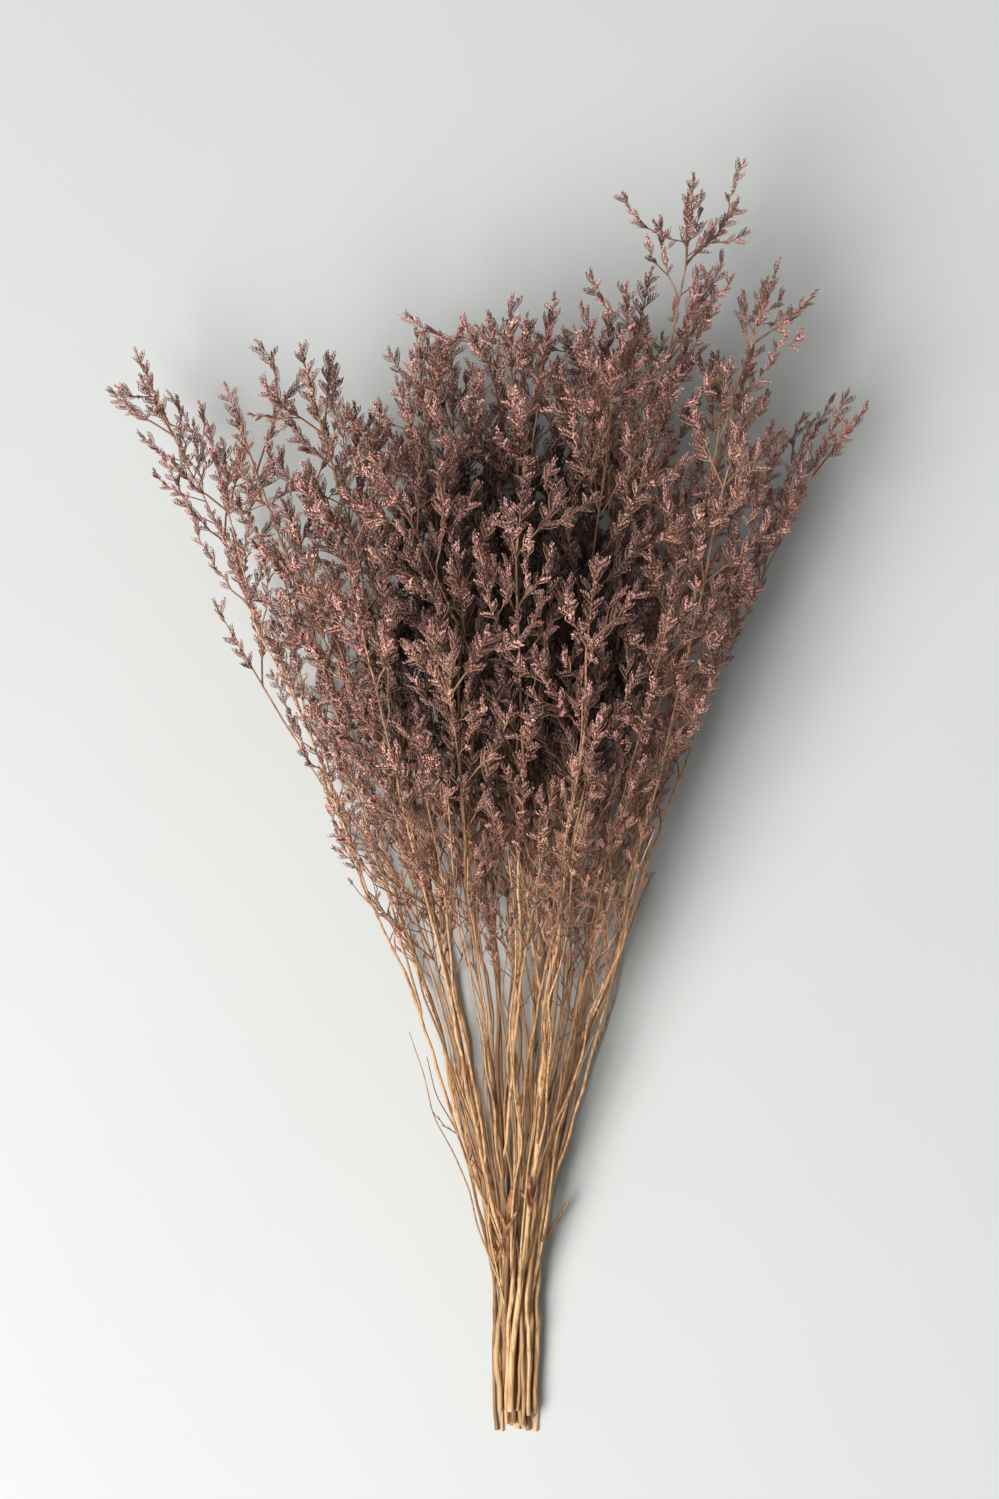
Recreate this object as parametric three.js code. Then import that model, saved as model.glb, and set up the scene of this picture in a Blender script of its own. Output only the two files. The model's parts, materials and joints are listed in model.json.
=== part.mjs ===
// A bunch of dried statice, cut and lying on its side on a flat surface.
// The woody stems are gathered tightly at their cut ends and fan out. They fork into flowering
// heads, which are open sprays with twigs set all round with small forward-leaning florets.
// Millimetres. +X is across the bunch, +Y runs from the cut ends to the flowering tips, and +Z is
// up from the surface at z = 0. The origin is on that surface, under the middle of the bunch.
import * as THREE from "three";

// Where the bunch is cut and gripped, and how its stems cross there.
const CUT_Y = -351;
const CUT_RAGGED = 14;
const GRIP = new THREE.Vector3(18, -306, 9);
const SPREAD = 0.024;
const TWIST = 0.7;

// Woody stems and the forks that leave them.
const STEM_RADIUS = 1.5;
const STEM_GIRTHS = [0.72, 1.32];
const TIP_RADIUS = 0.62;
const FORK_SLIMMER = 0.8;
const STEM_SIDES = 5;
const FORK_SIDES = 4;
const TWIG_SIDES = 3;
const BEND_EVERY = 52;
const BEND_NEAR = 14;
const BEND_WANDER = 3;
const SHOOT_GAP = 0.6;
const JOINT_LENGTH = 4;
const FOOT_RISE = 5;
const FOOT_GAP = 0.6;

// The tan stems turn to mauve heads at these heights, where the two nodes part by a hair.
const SPLITS = [-125, -45];
const SPLIT_GAP = 0.3;

// Twigs and their florets, which are larger than life so that fewer of them fill the bunch.
const TWIG_RADIUS = 0.6;
const TWIG_BARE = 12;
const TWIG_STEPS = [3, 5];
const TWIG_STEP = 8.2;
const TWIG_LEAN = [0.8, 0.36];
const TWIG_SPIN = 0.3;
const TWIG_CLEAR = 3.4;
const TWIG_ROOM = [17, 12, 8, 5.5];
const MOST_TWIGS = 191;
const MOST_AT_A_JOINT = 2;
const TIP_REACH = 50;
const TIP_STEPS = 6;
const FLORET_LENGTH = 13;
const FLORET_LEAN = 0.64;
const FLORET_CLEAR = 0.85;
const FLORETS_LEFT_OUT = 0.12;

// One row for each shoot that shows: the x, y and z of its tip, how much it bows outwards and, for
// a fork, the height where it leaves the stem above it in the list. The first list draws the
// outline from left to right, the second one fills the front, and the third one lies underneath.
const OUTLINE = [
  [-196, 259, 66, 1.3],
  [-153, 216, 84, 1.0, 100],
  [-153, 121, 40, 1.0, 10],
  [-140, 236, 112, 1.15, -115],
  [-98, 256, 120, 1.2],
  [-71, 229, 62, 1.1, 90],
  [-37, 266, 96, 1.15],
  [-19, 262, 44, 1.1],
  [17, 282, 108, 1.1],
  [34, 276, 84, 1.0, 140],
  [52, 262, 46, 1.15],
  [72, 262, 124, 1.2],
  [91, 301, 84, 1.2],
  [66, 280, 62, 1.1, 130],
  [116, 351, 96, 1.2],
  [161, 307, 84, 1.3],
  [151, 262, 58, 1.0, 180],
  [142, 227, 118, 0.9, -214],
  [204, 238, 52, 1.5],
  [180, 200, 82, 1.1, 60],
  [165, 207, 60, 1.25, -165],
  [89, -26, 60, 0.6, -129],
  [48, -219, 14, 1.0, -245],
];
const FRONT = [
  [-75, 140, 140, 1.2],
  [-25, 113, 156, 1.2],
  [20, 188, 160, 1.15],
  [62, 140, 156, 1.2],
  [104, 130, 122, 1.25],
];
const UNDER = [
  [-112, 142, 2, 1.2],
  [-72, 186, -4, 1.15],
  [-15, 196, -4, 1.1],
  [50, 206, -4, 1.15],
  [112, 186, -2, 1.25],
];
const INNER_FORKS = 17;
const INNER_DROPS = [110, 250];
const SEED = 7;

// The edges of the fan at some heights: y, left and right. Side twigs stay inside them.
const FAN = [
  [-120, -40, 62],
  [-26, -77, 88],
  [57, -112, 118],
  [168, -166, 174],
  [200, -196, 200],
  [235, -216, 216],
];

// The middle of the bunch in the coordinates of the lists above.
const MIDDLE = new THREE.Vector3(-1.5, 0, 0);

// Inner forks end inside this ellipsoid, between these two heights.
const MASS_MIDDLE = new THREE.Vector3(4, 150, 86);
const MASS_HALF = new THREE.Vector3(124, 195, 72);
const MASS_LOW_Y = 20;
const MASS_TOP_Y = 236;

// Dry leaf scraps that lie on the bare stems: x, y, length, half width and turn.
const LEAF_SCRAPS = [
  [13, -222, 27, 3.4, 0.12],
  [25, -211, 22, 2.5, -0.1],
  [8, -245, 15, 2.2, 0.3],
];
const LEAF_THICKNESS = 0.7;
const LEAF_GAP = 0.4;
const LEAF_ARCH = 0.9;
const LEAF_CURL = 3;
const LEAF_SLOPE = 0.3;
const LEAF_ROWS = 7;

const STEM_COLOUR = 0xb08a68;
const HEAD_COLOUR = 0x6f524a;
const LEAF_COLOUR = 0x8a5636;

const lerp = (a, b, t) => a + (b - a) * t;
const clamp = (x, low, high) => Math.min(high, Math.max(low, x));

// The same draws for the same seed.
function makeRandom(seed) {
  let state = seed * 7919 + 17;
  const next = () => {
    state = (state * 48271) % 2147483647;
    return state / 2147483647;
  };
  next();
  return (low = 0, high = 1) => lerp(low, high, next());
}

// A shoot is a row of bends, one above the other.

function radiusAt(shoot, y) {
  const thinAt = shoot.bare ? shoot.parent.tipY : shoot.tipY;
  const t = clamp((y - CUT_Y) / (thinAt - CUT_Y), 0, 1);
  return lerp(STEM_RADIUS * shoot.girth, TIP_RADIUS, t);
}

function bendBelow(shoot, y) {
  let k = 0;
  while (k < shoot.bends.length - 2 && shoot.bends[k + 1].y <= y) k++;
  return k;
}

function placeAt(shoot, y) {
  const k = bendBelow(shoot, y);
  const a = shoot.bends[k];
  const b = shoot.bends[k + 1];
  return a.clone().lerp(b, (y - a.y) / (b.y - a.y));
}

// The heights of a shoot's bends, from its start to its tip. A fork's second bend is its foot,
// where it has just come clear of its parent.
function bendHeights(shoot, random) {
  const heights = [shoot.tipY];
  if (!shoot.bare) heights.push(shoot.tipY - TIP_REACH);
  const lowest = shoot.parent ? shoot.startY + 24 : GRIP.y + 30;
  for (;;) {
    const next = heights.at(-1) - BEND_EVERY * random(0.85, 1.15);
    if (next < lowest) break;
    heights.push(next);
  }
  heights.push(shoot.parent ? shoot.startY + FOOT_RISE : GRIP.y);
  heights.push(shoot.startY);
  return heights.reverse();
}

// A stem leaves the grip near its own side of the bundle, turned a little round the middle.
function stemPlace(shoot, y) {
  const t = y > GRIP.y ? ((y - GRIP.y) / (shoot.tipY - GRIP.y)) ** shoot.bow : 0;
  const away = new THREE.Vector2(shoot.tip.x - GRIP.x, shoot.tip.z - MASS_MIDDLE.z);
  away.rotateAround(new THREE.Vector2(), TWIST).multiplyScalar(SPREAD * (1 - t));
  return new THREE.Vector3(
    lerp(GRIP.x, shoot.tip.x, t) + away.x,
    y,
    lerp(GRIP.z, shoot.tip.z, t) + away.y,
  );
}

function forkPlace(shoot, y) {
  const foot = placeAt(shoot.parent, shoot.startY);
  const t = ((y - shoot.startY) / (shoot.tipY - shoot.startY)) ** shoot.bow;
  return foot.lerp(shoot.tip, t).setY(y);
}

function makeShoot([x, y, z, bow], parent, startY, random) {
  const shoot = {
    tip: new THREE.Vector3(x, y, z),
    tipY: y,
    bow,
    parent,
    startY,
    bare: y < SPLITS[0],
    girth: parent ? parent.girth * FORK_SLIMMER : random(...STEM_GIRTHS),
    forks: [],
  };
  shoot.bends = bendHeights(shoot, random).map((height) => {
    const bend = parent ? forkPlace(shoot, height) : stemPlace(shoot, height);
    const wander = height > Math.max(GRIP.y, startY) ? BEND_WANDER : 0;
    bend.x += wander * random(-1, 1);
    bend.z += wander * random(-1, 1);
    return bend;
  });
  if (parent) parent.forks.push(shoot);
  return shoot;
}

// A fork leaves at one of its parent's bends: the nearest one that has no fork yet.
function nearestBend(parent, y) {
  const taken = parent.forks.map((fork) => fork.startY);
  const free = parent.bends
    .slice(1, -1)
    .map((bend) => bend.y)
    .filter((height) => height > GRIP.y && !taken.includes(height));
  return free.sort((a, b) => Math.abs(a - y) - Math.abs(b - y))[0];
}

// A fork in the lists leaves at its own height. Its stem gets a bend there if it has none nearby.
function listedBend(stem, y) {
  const near = nearestBend(stem, y);
  if (near !== undefined && Math.abs(near - y) < BEND_NEAR) return near;
  stem.bends.splice(bendBelow(stem, y) + 1, 0, placeAt(stem, y));
  return y;
}

// The place in the mass that is furthest from every tip so far, out of some random ones.
function emptiestPlace(shoots, random) {
  let best = { gap: -1 };
  for (let i = 0; i < 40; i++) {
    const place = new THREE.Vector3(random(-1, 1), random(-1, 1), random(-1, 1));
    if (place.length() > 1) continue;
    place.multiply(MASS_HALF).add(MASS_MIDDLE);
    if (place.y > MASS_TOP_Y || place.y < MASS_LOW_Y) continue;
    const gap = Math.min(...shoots.map((shoot) => shoot.tip.distanceTo(place)));
    if (gap > best.gap) best = { gap, place };
  }
  return best.place;
}

// An inner fork takes one of the three stems that it can leave with the least lean.
function makeInnerFork(shoots, random) {
  const tip = emptiestPlace(shoots, random);
  const wanted = tip.y - random(...INNER_DROPS);
  const choices = shoots
    .filter((stem) => !stem.parent)
    .map((stem) => ({ stem, startY: nearestBend(stem, wanted) }))
    .filter(({ startY }) => startY !== undefined && tip.y - startY > 85);
  for (const choice of choices) {
    const foot = placeAt(choice.stem, choice.startY);
    choice.lean = Math.hypot(tip.x - foot.x, tip.z - foot.z) / (tip.y - choice.startY);
  }
  choices.sort((a, b) => a.lean - b.lean);
  const { stem, startY } = choices[Math.min(choices.length - 1, Math.floor(random(0, 3)))];
  return makeShoot([...tip, random(1.0, 1.2)], stem, startY, random);
}

function chooseShoots(random) {
  const shoots = [];
  let stem = null;
  for (const row of [...OUTLINE, ...FRONT, ...UNDER]) {
    const fork = row[4];
    if (fork === undefined) {
      stem = makeShoot(row, null, CUT_Y + CUT_RAGGED * random(), random);
      shoots.push(stem);
    } else {
      shoots.push(makeShoot(row, stem, listedBend(stem, fork), random));
    }
  }
  for (let i = 0; i < INNER_FORKS; i++) shoots.push(makeInnerFork(shoots, random));
  return shoots;
}

// Pushing the shoots clear of each other and of the surface.

const ROUNDS = 140;
const SAMPLE_EVERY = 13;
const PUSH = 0.4;

function pushShoot(shoot, y, dx, dz) {
  const k = bendBelow(shoot, y);
  const a = shoot.bends[k];
  const b = shoot.bends[k + 1];
  const t = clamp((y - a.y) / (b.y - a.y), 0, 1);
  if (k > 0 || !shoot.parent) {
    a.x += dx * (1 - t);
    a.z += dz * (1 - t);
  }
  b.x += dx * t;
  b.z += dz * t;
}

function footPlace(fork) {
  const { y } = fork.bends[1];
  const next = fork.bends[2];
  const out = next.clone().sub(placeAt(fork.parent, next.y)).normalize();
  const reach = radiusAt(fork.parent, y) + radiusAt(fork, y) + FOOT_GAP;
  return placeAt(fork.parent, y).addScaledVector(out, reach);
}

// A fork isn't pushed off its parent, or off a fork beside it, where they start.
function areKin(a, b, y) {
  if (a.parent === b) return y < a.startY + 20;
  if (b.parent === a) return y < b.startY + 20;
  return a.parent !== null && a.parent === b.parent && y < Math.max(a.startY, b.startY) + 12;
}

// Where two shoots come nearest between two heights, as seen along the bunch.
function nearestOffset(low, high) {
  const run = high.clone().sub(low);
  const along = run.lengthSq();
  const t = along > 1e-9 ? clamp(-low.dot(run) / along, 0, 1) : 0;
  return { t, offset: low.clone().addScaledVector(run, t) };
}

function pushApart(a, b, y) {
  const apart = (height) => {
    const p = placeAt(a, height);
    const q = placeAt(b, height);
    return new THREE.Vector2(p.x - q.x, p.z - q.z);
  };
  const { t, offset } = nearestOffset(apart(y), apart(y + SAMPLE_EVERY));
  const distance = offset.length() + 1e-6;
  const need = 1.1 * (radiusAt(a, y) + radiusAt(b, y)) + SHOOT_GAP;
  if (distance >= need) return;
  offset.multiplyScalar((PUSH * (need - distance)) / distance);
  pushShoot(a, y + SAMPLE_EVERY * t, offset.x, offset.y);
  pushShoot(b, y + SAMPLE_EVERY * t, -offset.x, -offset.y);
}

// A shoot on the surface lies on a flat face, which is nearer its middle if it has fewer faces.
const floorHeight = (shoot, y) => {
  const sides = y > SPLITS[1] ? TWIG_SIDES : STEM_SIDES;
  return radiusAt(shoot, y) * Math.cos(Math.PI / sides);
};

function relax(shoots) {
  for (let round = 0; round < ROUNDS; round++) {
    for (let y = CUT_Y; y < 360; y += SAMPLE_EVERY) {
      const here = shoots.filter((shoot) => shoot.startY <= y + 1 && shoot.tipY > y);
      for (let i = 0; i < here.length; i++) {
        for (let j = i + 1; j < here.length; j++) {
          if (!areKin(here[i], here[j], y)) pushApart(here[i], here[j], y);
        }
      }
    }
    for (const shoot of shoots) {
      for (const bend of shoot.bends) {
        if (bend.y <= GRIP.y && round < ROUNDS / 2) bend.z -= 0.1;
        bend.z = Math.max(bend.z, floorHeight(shoot, bend.y));
      }
      if (!shoot.parent) continue;
      shoot.bends[0].copy(placeAt(shoot.parent, shoot.startY));
      shoot.bends[1].copy(footPlace(shoot));
    }
  }
}

// Where each stem turns into a head: between two bends, clear of both. Forks that start above
// their stem's split stay in its head and have none of their own.
function setSplit(shoot, random) {
  shoot.split = null;
  if (shoot.bare) return;
  if (shoot.parent && (shoot.parent.split === null || shoot.startY > shoot.parent.split)) return;
  const wanted = Math.max(random(...SPLITS), shoot.startY + 30);
  const k = bendBelow(shoot, Math.min(wanted, shoot.bends.at(-2).y - 5));
  shoot.split = clamp(wanted, shoot.bends[k].y + 9, shoot.bends[k + 1].y - 9);
}

// Directions round a shoot are told as angles from straight down.

function axisAt(shoot, k) {
  return shoot.bends[k + 1].clone().sub(shoot.bends[k - 1]).normalize();
}

function sideways(axis, angle) {
  const down = new THREE.Vector3(0, 0, -1).addScaledVector(axis, axis.z).normalize();
  return down.applyAxisAngle(axis, angle);
}

function angleOf(direction, axis) {
  const down = sideways(axis, 0);
  const across = axis.clone().cross(down);
  return Math.atan2(direction.dot(across), direction.dot(down));
}

// Part of a direction that is square to the axis.
function squareTo(direction, axis) {
  return direction.clone().addScaledVector(axis, -direction.dot(axis)).normalize();
}

// A joint is a short length round a bend whose faces carry a fork or twigs. The first face points
// along the joint's turn.
function setForkJoints(shoot) {
  shoot.joints = {};
  for (const fork of shoot.forks) {
    const k = shoot.bends.findIndex((bend) => bend.y === fork.startY);
    const out = fork.bends[1].clone().sub(fork.bends[0]);
    const turn = angleOf(out, axisAt(shoot, k));
    shoot.joints[k] = { shoot, k, turn, children: [fork] };
  }
}

// Paths of twigs and tips: the points where their rings stand, and the way each ring is turned.

function axesAlong(points) {
  return points.map((point, i) => {
    const before = points[Math.max(0, i - 1)];
    const after = points[Math.min(points.length - 1, i + 1)];
    return after.clone().sub(before).normalize();
  });
}

function makePath(points, side, radii, spin, firstFlowering) {
  const axes = axesAlong(points);
  const sides = [];
  for (let i = 0; i < points.length; i++) {
    const from = i ? sides[i - 1] : side;
    const turn = i >= firstFlowering ? spin : 0;
    sides.push(squareTo(from, axes[i]).applyAxisAngle(axes[i], turn));
  }
  return { points, axes, sides, radii, firstFlowering, florets: [] };
}

function layTwig(joint, angle, steps, spin) {
  const { shoot, k } = joint;
  const axis = axisAt(shoot, k);
  const out = sideways(axis, angle);
  const reach = radiusAt(shoot, shoot.bends[k].y) + TWIG_RADIUS + 0.5;
  const place = shoot.bends[k]
    .clone()
    .addScaledVector(out, reach)
    .addScaledVector(axis, JOINT_LENGTH / 2 + 2);
  const points = [place.clone()];
  let dip = 0;
  for (let i = 0; i <= steps + 1; i++) {
    const length = i === 0 ? TWIG_BARE : i === steps + 1 ? 6 : TWIG_STEP;
    const lean = lerp(...TWIG_LEAN, i / (steps + 1)) + (i % 2 ? 0.12 : -0.12);
    place.addScaledVector(out, length * Math.sin(lean)).addScaledVector(axis, length * Math.cos(lean));
    dip = Math.min(dip, place.z);
    points.push(place.clone().setZ(Math.max(place.z, TWIG_RADIUS)));
  }
  const end = points.pop();
  const radii = points.map((_, i) => lerp(TWIG_RADIUS, 0.5, i / (points.length - 1)));
  return { ...makePath(points, axis.clone().negate(), radii, spin, 1), end, dip };
}

function layTip(shoot) {
  const k = shoot.bends.length - 2;
  const [from, to] = shoot.bends.slice(k);
  const axis = to.clone().sub(from).normalize();
  const side = sideways(axis, 0);
  const steps = TIP_STEPS;
  const points = [];
  for (let i = 1; i < steps; i++) {
    const sway = i % 2 ? 1.1 : -1.1;
    points.push(from.clone().lerp(to, i / steps).addScaledVector(side, sway));
  }
  for (const point of points) point.z = Math.max(point.z, TWIG_RADIUS);
  const radii = points.map((_, i) => lerp(TIP_RADIUS, 0.5, i / points.length));
  return { ...makePath(points, side, radii, TWIG_SPIN, 0), end: to.clone() };
}

// Lines that stand for everything placed so far, for keeping the next thing clear of it.

class Lines {
  list = [];

  add(a, b, radius, owner) {
    const line = new THREE.Line3(a.clone(), b.clone());
    this.list.push({ line, box: new THREE.Box3().setFromPoints([a, b]), radius, owner });
  }

  addPath(path, owner) {
    const points = [...path.points, path.end];
    for (let i = 1; i < points.length; i++) this.add(points[i - 1], points[i], 0.6, owner);
  }

  // The least room between a line and all the others but its owners', up to the room that counts.
  roomAround(line, most, owners) {
    const reach = most + 2.5;
    const box = new THREE.Box3().setFromPoints([line.start, line.end]).expandByScalar(reach);
    let room = most;
    for (const other of this.list) {
      if (owners.includes(other.owner) || !box.intersectsBox(other.box)) continue;
      const gap = Math.sqrt(other.line.distanceSqToLine3(line)) - other.radius;
      room = Math.min(room, gap);
    }
    return room;
  }
}

function isInsideFan(point) {
  const k = Math.max(1, FAN.findIndex(([y]) => y > point.y));
  const [high, low] = point.y > FAN.at(-1)[0] ? [FAN.at(-1), FAN.at(-1)] : [FAN[k], FAN[k - 1]];
  const t = high === low ? 0 : (point.y - low[0]) / (high[0] - low[0]);
  return point.x > lerp(low[1], high[1], t) && point.x < lerp(low[2], high[2], t);
}

// A twig fits if its lower part is just clear and its outer part has room round it.
function twigRoom(twig, lines, owner, room) {
  const points = [...twig.points, twig.end];
  let least = room;
  for (let i = 1; i < points.length; i++) {
    const start = i === 1 ? points[0].clone().lerp(points[1], 0.4) : points[i - 1];
    const line = new THREE.Line3(start, points[i]);
    const found = lines.roomAround(line, i < 3 ? TWIG_CLEAR : room, [owner]);
    if (found < TWIG_CLEAR) return -1;
    if (i >= 3) least = Math.min(least, found);
  }
  return least;
}

// The first twig of a joint may point anywhere, but a joint on the surface lies on one face. The
// next twig has the next face.
function twigAngles(joint) {
  const face = (2 * Math.PI) / TWIG_SIDES;
  if (joint.children.length) return [joint.turn + joint.children.length * face];
  if (joint.shoot.bends[joint.k].z < 3) return [face, 2 * face];
  return [...Array(10).keys()].map((i) => joint.turn + (i * 2 * Math.PI) / 10);
}

function tryTwig(joint, lines, room) {
  const { shoot, steps, spin } = joint;
  const free = joint.children.length;
  if (free === MOST_AT_A_JOINT) return false;
  let best = { found: TWIG_CLEAR };
  for (const angle of twigAngles(joint)) {
    const twig = layTwig(joint, angle, steps, spin);
    if (twig.dip < -7 || !isInsideFan(twig.end)) continue;
    const found = twigRoom(twig, lines, shoot, room + 2);
    if (found > best.found) best = { found, twig, angle };
  }
  if (!best.twig || best.found < room) return false;
  if (free === 0) joint.turn = best.angle;
  joint.children.push(best.twig);
  lines.addPath(best.twig, best.twig);
  return true;
}

function flowersFrom(shoot) {
  if (shoot.bare) return Infinity;
  const stem = shoot.split ?? shoot.parent.split;
  return Math.max(stem, shoot.startY) + 8;
}

function growTwigs(shoots, lines, random) {
  const joints = [];
  for (const shoot of shoots) {
    const last = shoot.bends.length - 2;
    for (let k = 1; k <= last; k++) {
      if (shoot.bends[k].y < flowersFrom(shoot)) continue;
      shoot.joints[k] ??= { shoot, k, turn: random(0, 2 * Math.PI), children: [] };
      const [few, many] = TWIG_STEPS;
      const steps = k === last ? few : Math.floor(random(few + 1, many + 1));
      const spin = random() < 0.5 ? TWIG_SPIN : -TWIG_SPIN;
      const order = random() - (k === last ? 1 : 0);
      joints.push(Object.assign(shoot.joints[k], { steps, spin, order }));
    }
  }
  joints.sort((a, b) => a.order - b.order);
  let grown = 0;
  for (const room of TWIG_ROOM) {
    for (const joint of joints) {
      if (grown < MOST_TWIGS && tryTwig(joint, lines, room)) grown++;
    }
  }
}

// Florets stand on the faces between two rings and lean towards the tip.

function floretTip(path, i, face, random) {
  const middle = path.points[i].clone().add(path.points[i + 1]).multiplyScalar(0.5);
  const axis = path.points[i + 1].clone().sub(path.points[i]).normalize();
  const side = path.sides[i].clone().add(path.sides[i + 1]);
  const out = squareTo(side, axis).applyAxisAngle(axis, (face * 2 * Math.PI) / TWIG_SIDES);
  const length = FLORET_LENGTH * random(0.8, 1.2);
  const lean = FLORET_LEAN * random(0.85, 1.15);
  return middle
    .addScaledVector(axis, length * Math.cos(lean))
    .addScaledVector(out, length * Math.sin(lean));
}

function setFlorets(path, owner, lines, random) {
  for (let i = path.firstFlowering; i < path.points.length - 1; i++) {
    path.florets[i] = [];
    for (let face = 0; face < TWIG_SIDES; face++) {
      const tip = floretTip(path, i, face, random);
      const leftOut = random() < FLORETS_LEFT_OUT;
      if (leftOut || tip.z < -2.5) continue;
      tip.z = Math.max(tip.z, 0);
      const from = [path.points[i], path.points[i + 1]];
      const edges = [0.1, 0.5, 0.9].map((t) => new THREE.Line3(from[0].clone().lerp(from[1], t), tip));
      const room = Math.min(...edges.map((edge) => lines.roomAround(edge, 1, [path, owner])));
      if (room < FLORET_CLEAR) continue;
      path.florets[i][face] = tip;
      for (const edge of edges) lines.add(edge.start, edge.end, 0.35, path);
    }
  }
}

// Closed skins, grown ring by ring and face by face.

class Skin {
  points = [];
  triangles = [];

  // Nothing reaches below the surface: what would is flat there.
  add(point) {
    this.points.push(point.clone().setZ(Math.max(point.z, 0)));
    return this.points.length - 1;
  }

  ring(at, axis, side, radius, sides) {
    const across = axis.clone().cross(side);
    return [...Array(sides).keys()].map((j) => {
      const angle = ((2 * j - 1) * Math.PI) / sides;
      const spoke = side.clone().multiplyScalar(Math.cos(angle)).addScaledVector(across, Math.sin(angle));
      return this.add(at.clone().addScaledVector(spoke, radius));
    });
  }

  quad(a, b, c, d) {
    this.triangles.push([a, b, c], [a, c, d]);
  }

  cap(ring, isStart) {
    for (let i = 1; i < ring.length - 1; i++) {
      this.triangles.push(isStart ? [ring[0], ring[i + 1], ring[i]] : [ring[0], ring[i], ring[i + 1]]);
    }
  }

  point(ring, tip) {
    const end = this.add(tip);
    ring.forEach((a, i) => this.triangles.push([a, ring[(i + 1) % ring.length], end]));
  }

  // The way to join two rings with the least twist.
  leastTwist(low, high) {
    const twist = (shift) => {
      let sum = 0;
      low.forEach((a, i) => {
        sum += this.points[a].distanceToSquared(this.points[high[(i + shift) % high.length]]);
      });
      return sum;
    };
    const shifts = low.map((_, shift) => shift);
    return shifts.reduce((best, shift) => (twist(shift) < twist(best) - 1e-9 ? shift : best), 0);
  }

  // What stands on a face is a function that takes the face's four corners.
  wall(low, high, faces = []) {
    const n = low.length;
    const shift = this.leastTwist(low, high);
    for (let i = 0; i < n; i++) {
      const corners = [low[i], low[(i + 1) % n], high[(i + 1 + shift) % n], high[(i + shift) % n]];
      if (faces[i]) faces[i](corners);
      else this.quad(...corners);
    }
  }
}

const floretOn = (skin, tip) => (corners) => skin.point(corners, tip);

function growPath(skin, ring, path) {
  path.points.forEach((at, i) => {
    const next = skin.ring(at, path.axes[i], path.sides[i], path.radii[i], TWIG_SIDES);
    const florets = path.florets[i - 1] ?? [];
    skin.wall(ring, next, florets.map((tip) => tip && floretOn(skin, tip)));
    ring = next;
  });
  skin.point(ring, path.end);
}

// A twig stands on half of a face, and a fork of a stem on all of it.
function childOn(skin, child, sides) {
  return ([a, b, c, d]) => {
    if (sides === STEM_SIDES) {
      growFork(skin, [a, b, c, d], child);
      return;
    }
    skin.triangles.push([a, c, d]);
    if (child.points) growPath(skin, [a, b, c], child);
    else growFork(skin, [a, b, c], child);
  };
}

function growFork(skin, base, fork) {
  const [, foot, next] = fork.bends;
  const axis = next.clone().sub(foot).normalize();
  const ring = skin.ring(foot, axis, sideways(axis, 0), radiusAt(fork, foot.y), base.length);
  skin.wall(base, ring);
  growAxis(skin, ring, fork, foot.y);
}

// From a ring to the shoot's split, or to its tip if it has none above.
function growAxis(skin, ring, shoot, fromY) {
  const isStem = shoot.bare || (shoot.split !== null && fromY < shoot.split);
  const stopY = isStem && !shoot.bare ? shoot.split - SPLIT_GAP / 2 : shoot.tipY;
  for (let k = 1; k < shoot.bends.length - 1; k++) {
    const bend = shoot.bends[k];
    if (bend.y > fromY && bend.y < stopY) ring = growBend(skin, ring, shoot, k);
  }
  if (!isStem) {
    growPath(skin, ring, shoot.tipPath);
    return;
  }
  const end = ringAcross(skin, shoot, stopY, ring.length);
  skin.wall(ring, end);
  skin.cap(end, false);
}

function growBend(skin, ring, shoot, k) {
  const axis = axisAt(shoot, k);
  const at = shoot.bends[k];
  const radius = radiusAt(shoot, at.y);
  const joint = shoot.joints[k];
  const side = sideways(axis, joint && joint.children.length ? joint.turn : 0);
  if (!joint || !joint.children.length) {
    const next = skin.ring(at, axis, side, radius, ring.length);
    skin.wall(ring, next);
    return next;
  }
  const half = axis.clone().multiplyScalar(JOINT_LENGTH / 2);
  const low = skin.ring(at.clone().sub(half), axis, side, radius, ring.length);
  const high = skin.ring(at.clone().add(half), axis, side, radius, ring.length);
  skin.wall(ring, low);
  skin.wall(low, high, joint.children.map((child) => childOn(skin, child, ring.length)));
  return high;
}

// A ring between two bends, square to the shoot.
function ringAcross(skin, shoot, y, sides) {
  const k = bendBelow(shoot, y);
  const axis = shoot.bends[k + 1].clone().sub(shoot.bends[k]).normalize();
  return skin.ring(placeAt(shoot, y), axis, sideways(axis, 0), radiusAt(shoot, y), sides);
}

function growStem(stem) {
  const skin = new Skin();
  const ring = ringAcross(skin, stem, stem.startY, STEM_SIDES);
  skin.cap(ring, true);
  growAxis(skin, ring, stem, stem.startY);
  return skin;
}

function growHead(shoot) {
  const skin = new Skin();
  const fromY = shoot.split + SPLIT_GAP / 2;
  const ring = ringAcross(skin, shoot, fromY, TWIG_SIDES);
  skin.cap(ring, true);
  growAxis(skin, ring, shoot, fromY);
  return skin;
}

// The highest point of the stems near a place, which a leaf scrap lies on.
function stemsTop(shoots, x, y, reach) {
  const tops = shoots
    .filter((shoot) => shoot.startY < y && shoot.tipY > y)
    .map((shoot) => ({ at: placeAt(shoot, y), radius: radiusAt(shoot, y) }))
    .filter(({ at, radius }) => Math.abs(at.x - x) < reach + radius)
    .map(({ at, radius }) => at.z + radius);
  return Math.max(0, ...tops);
}

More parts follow.
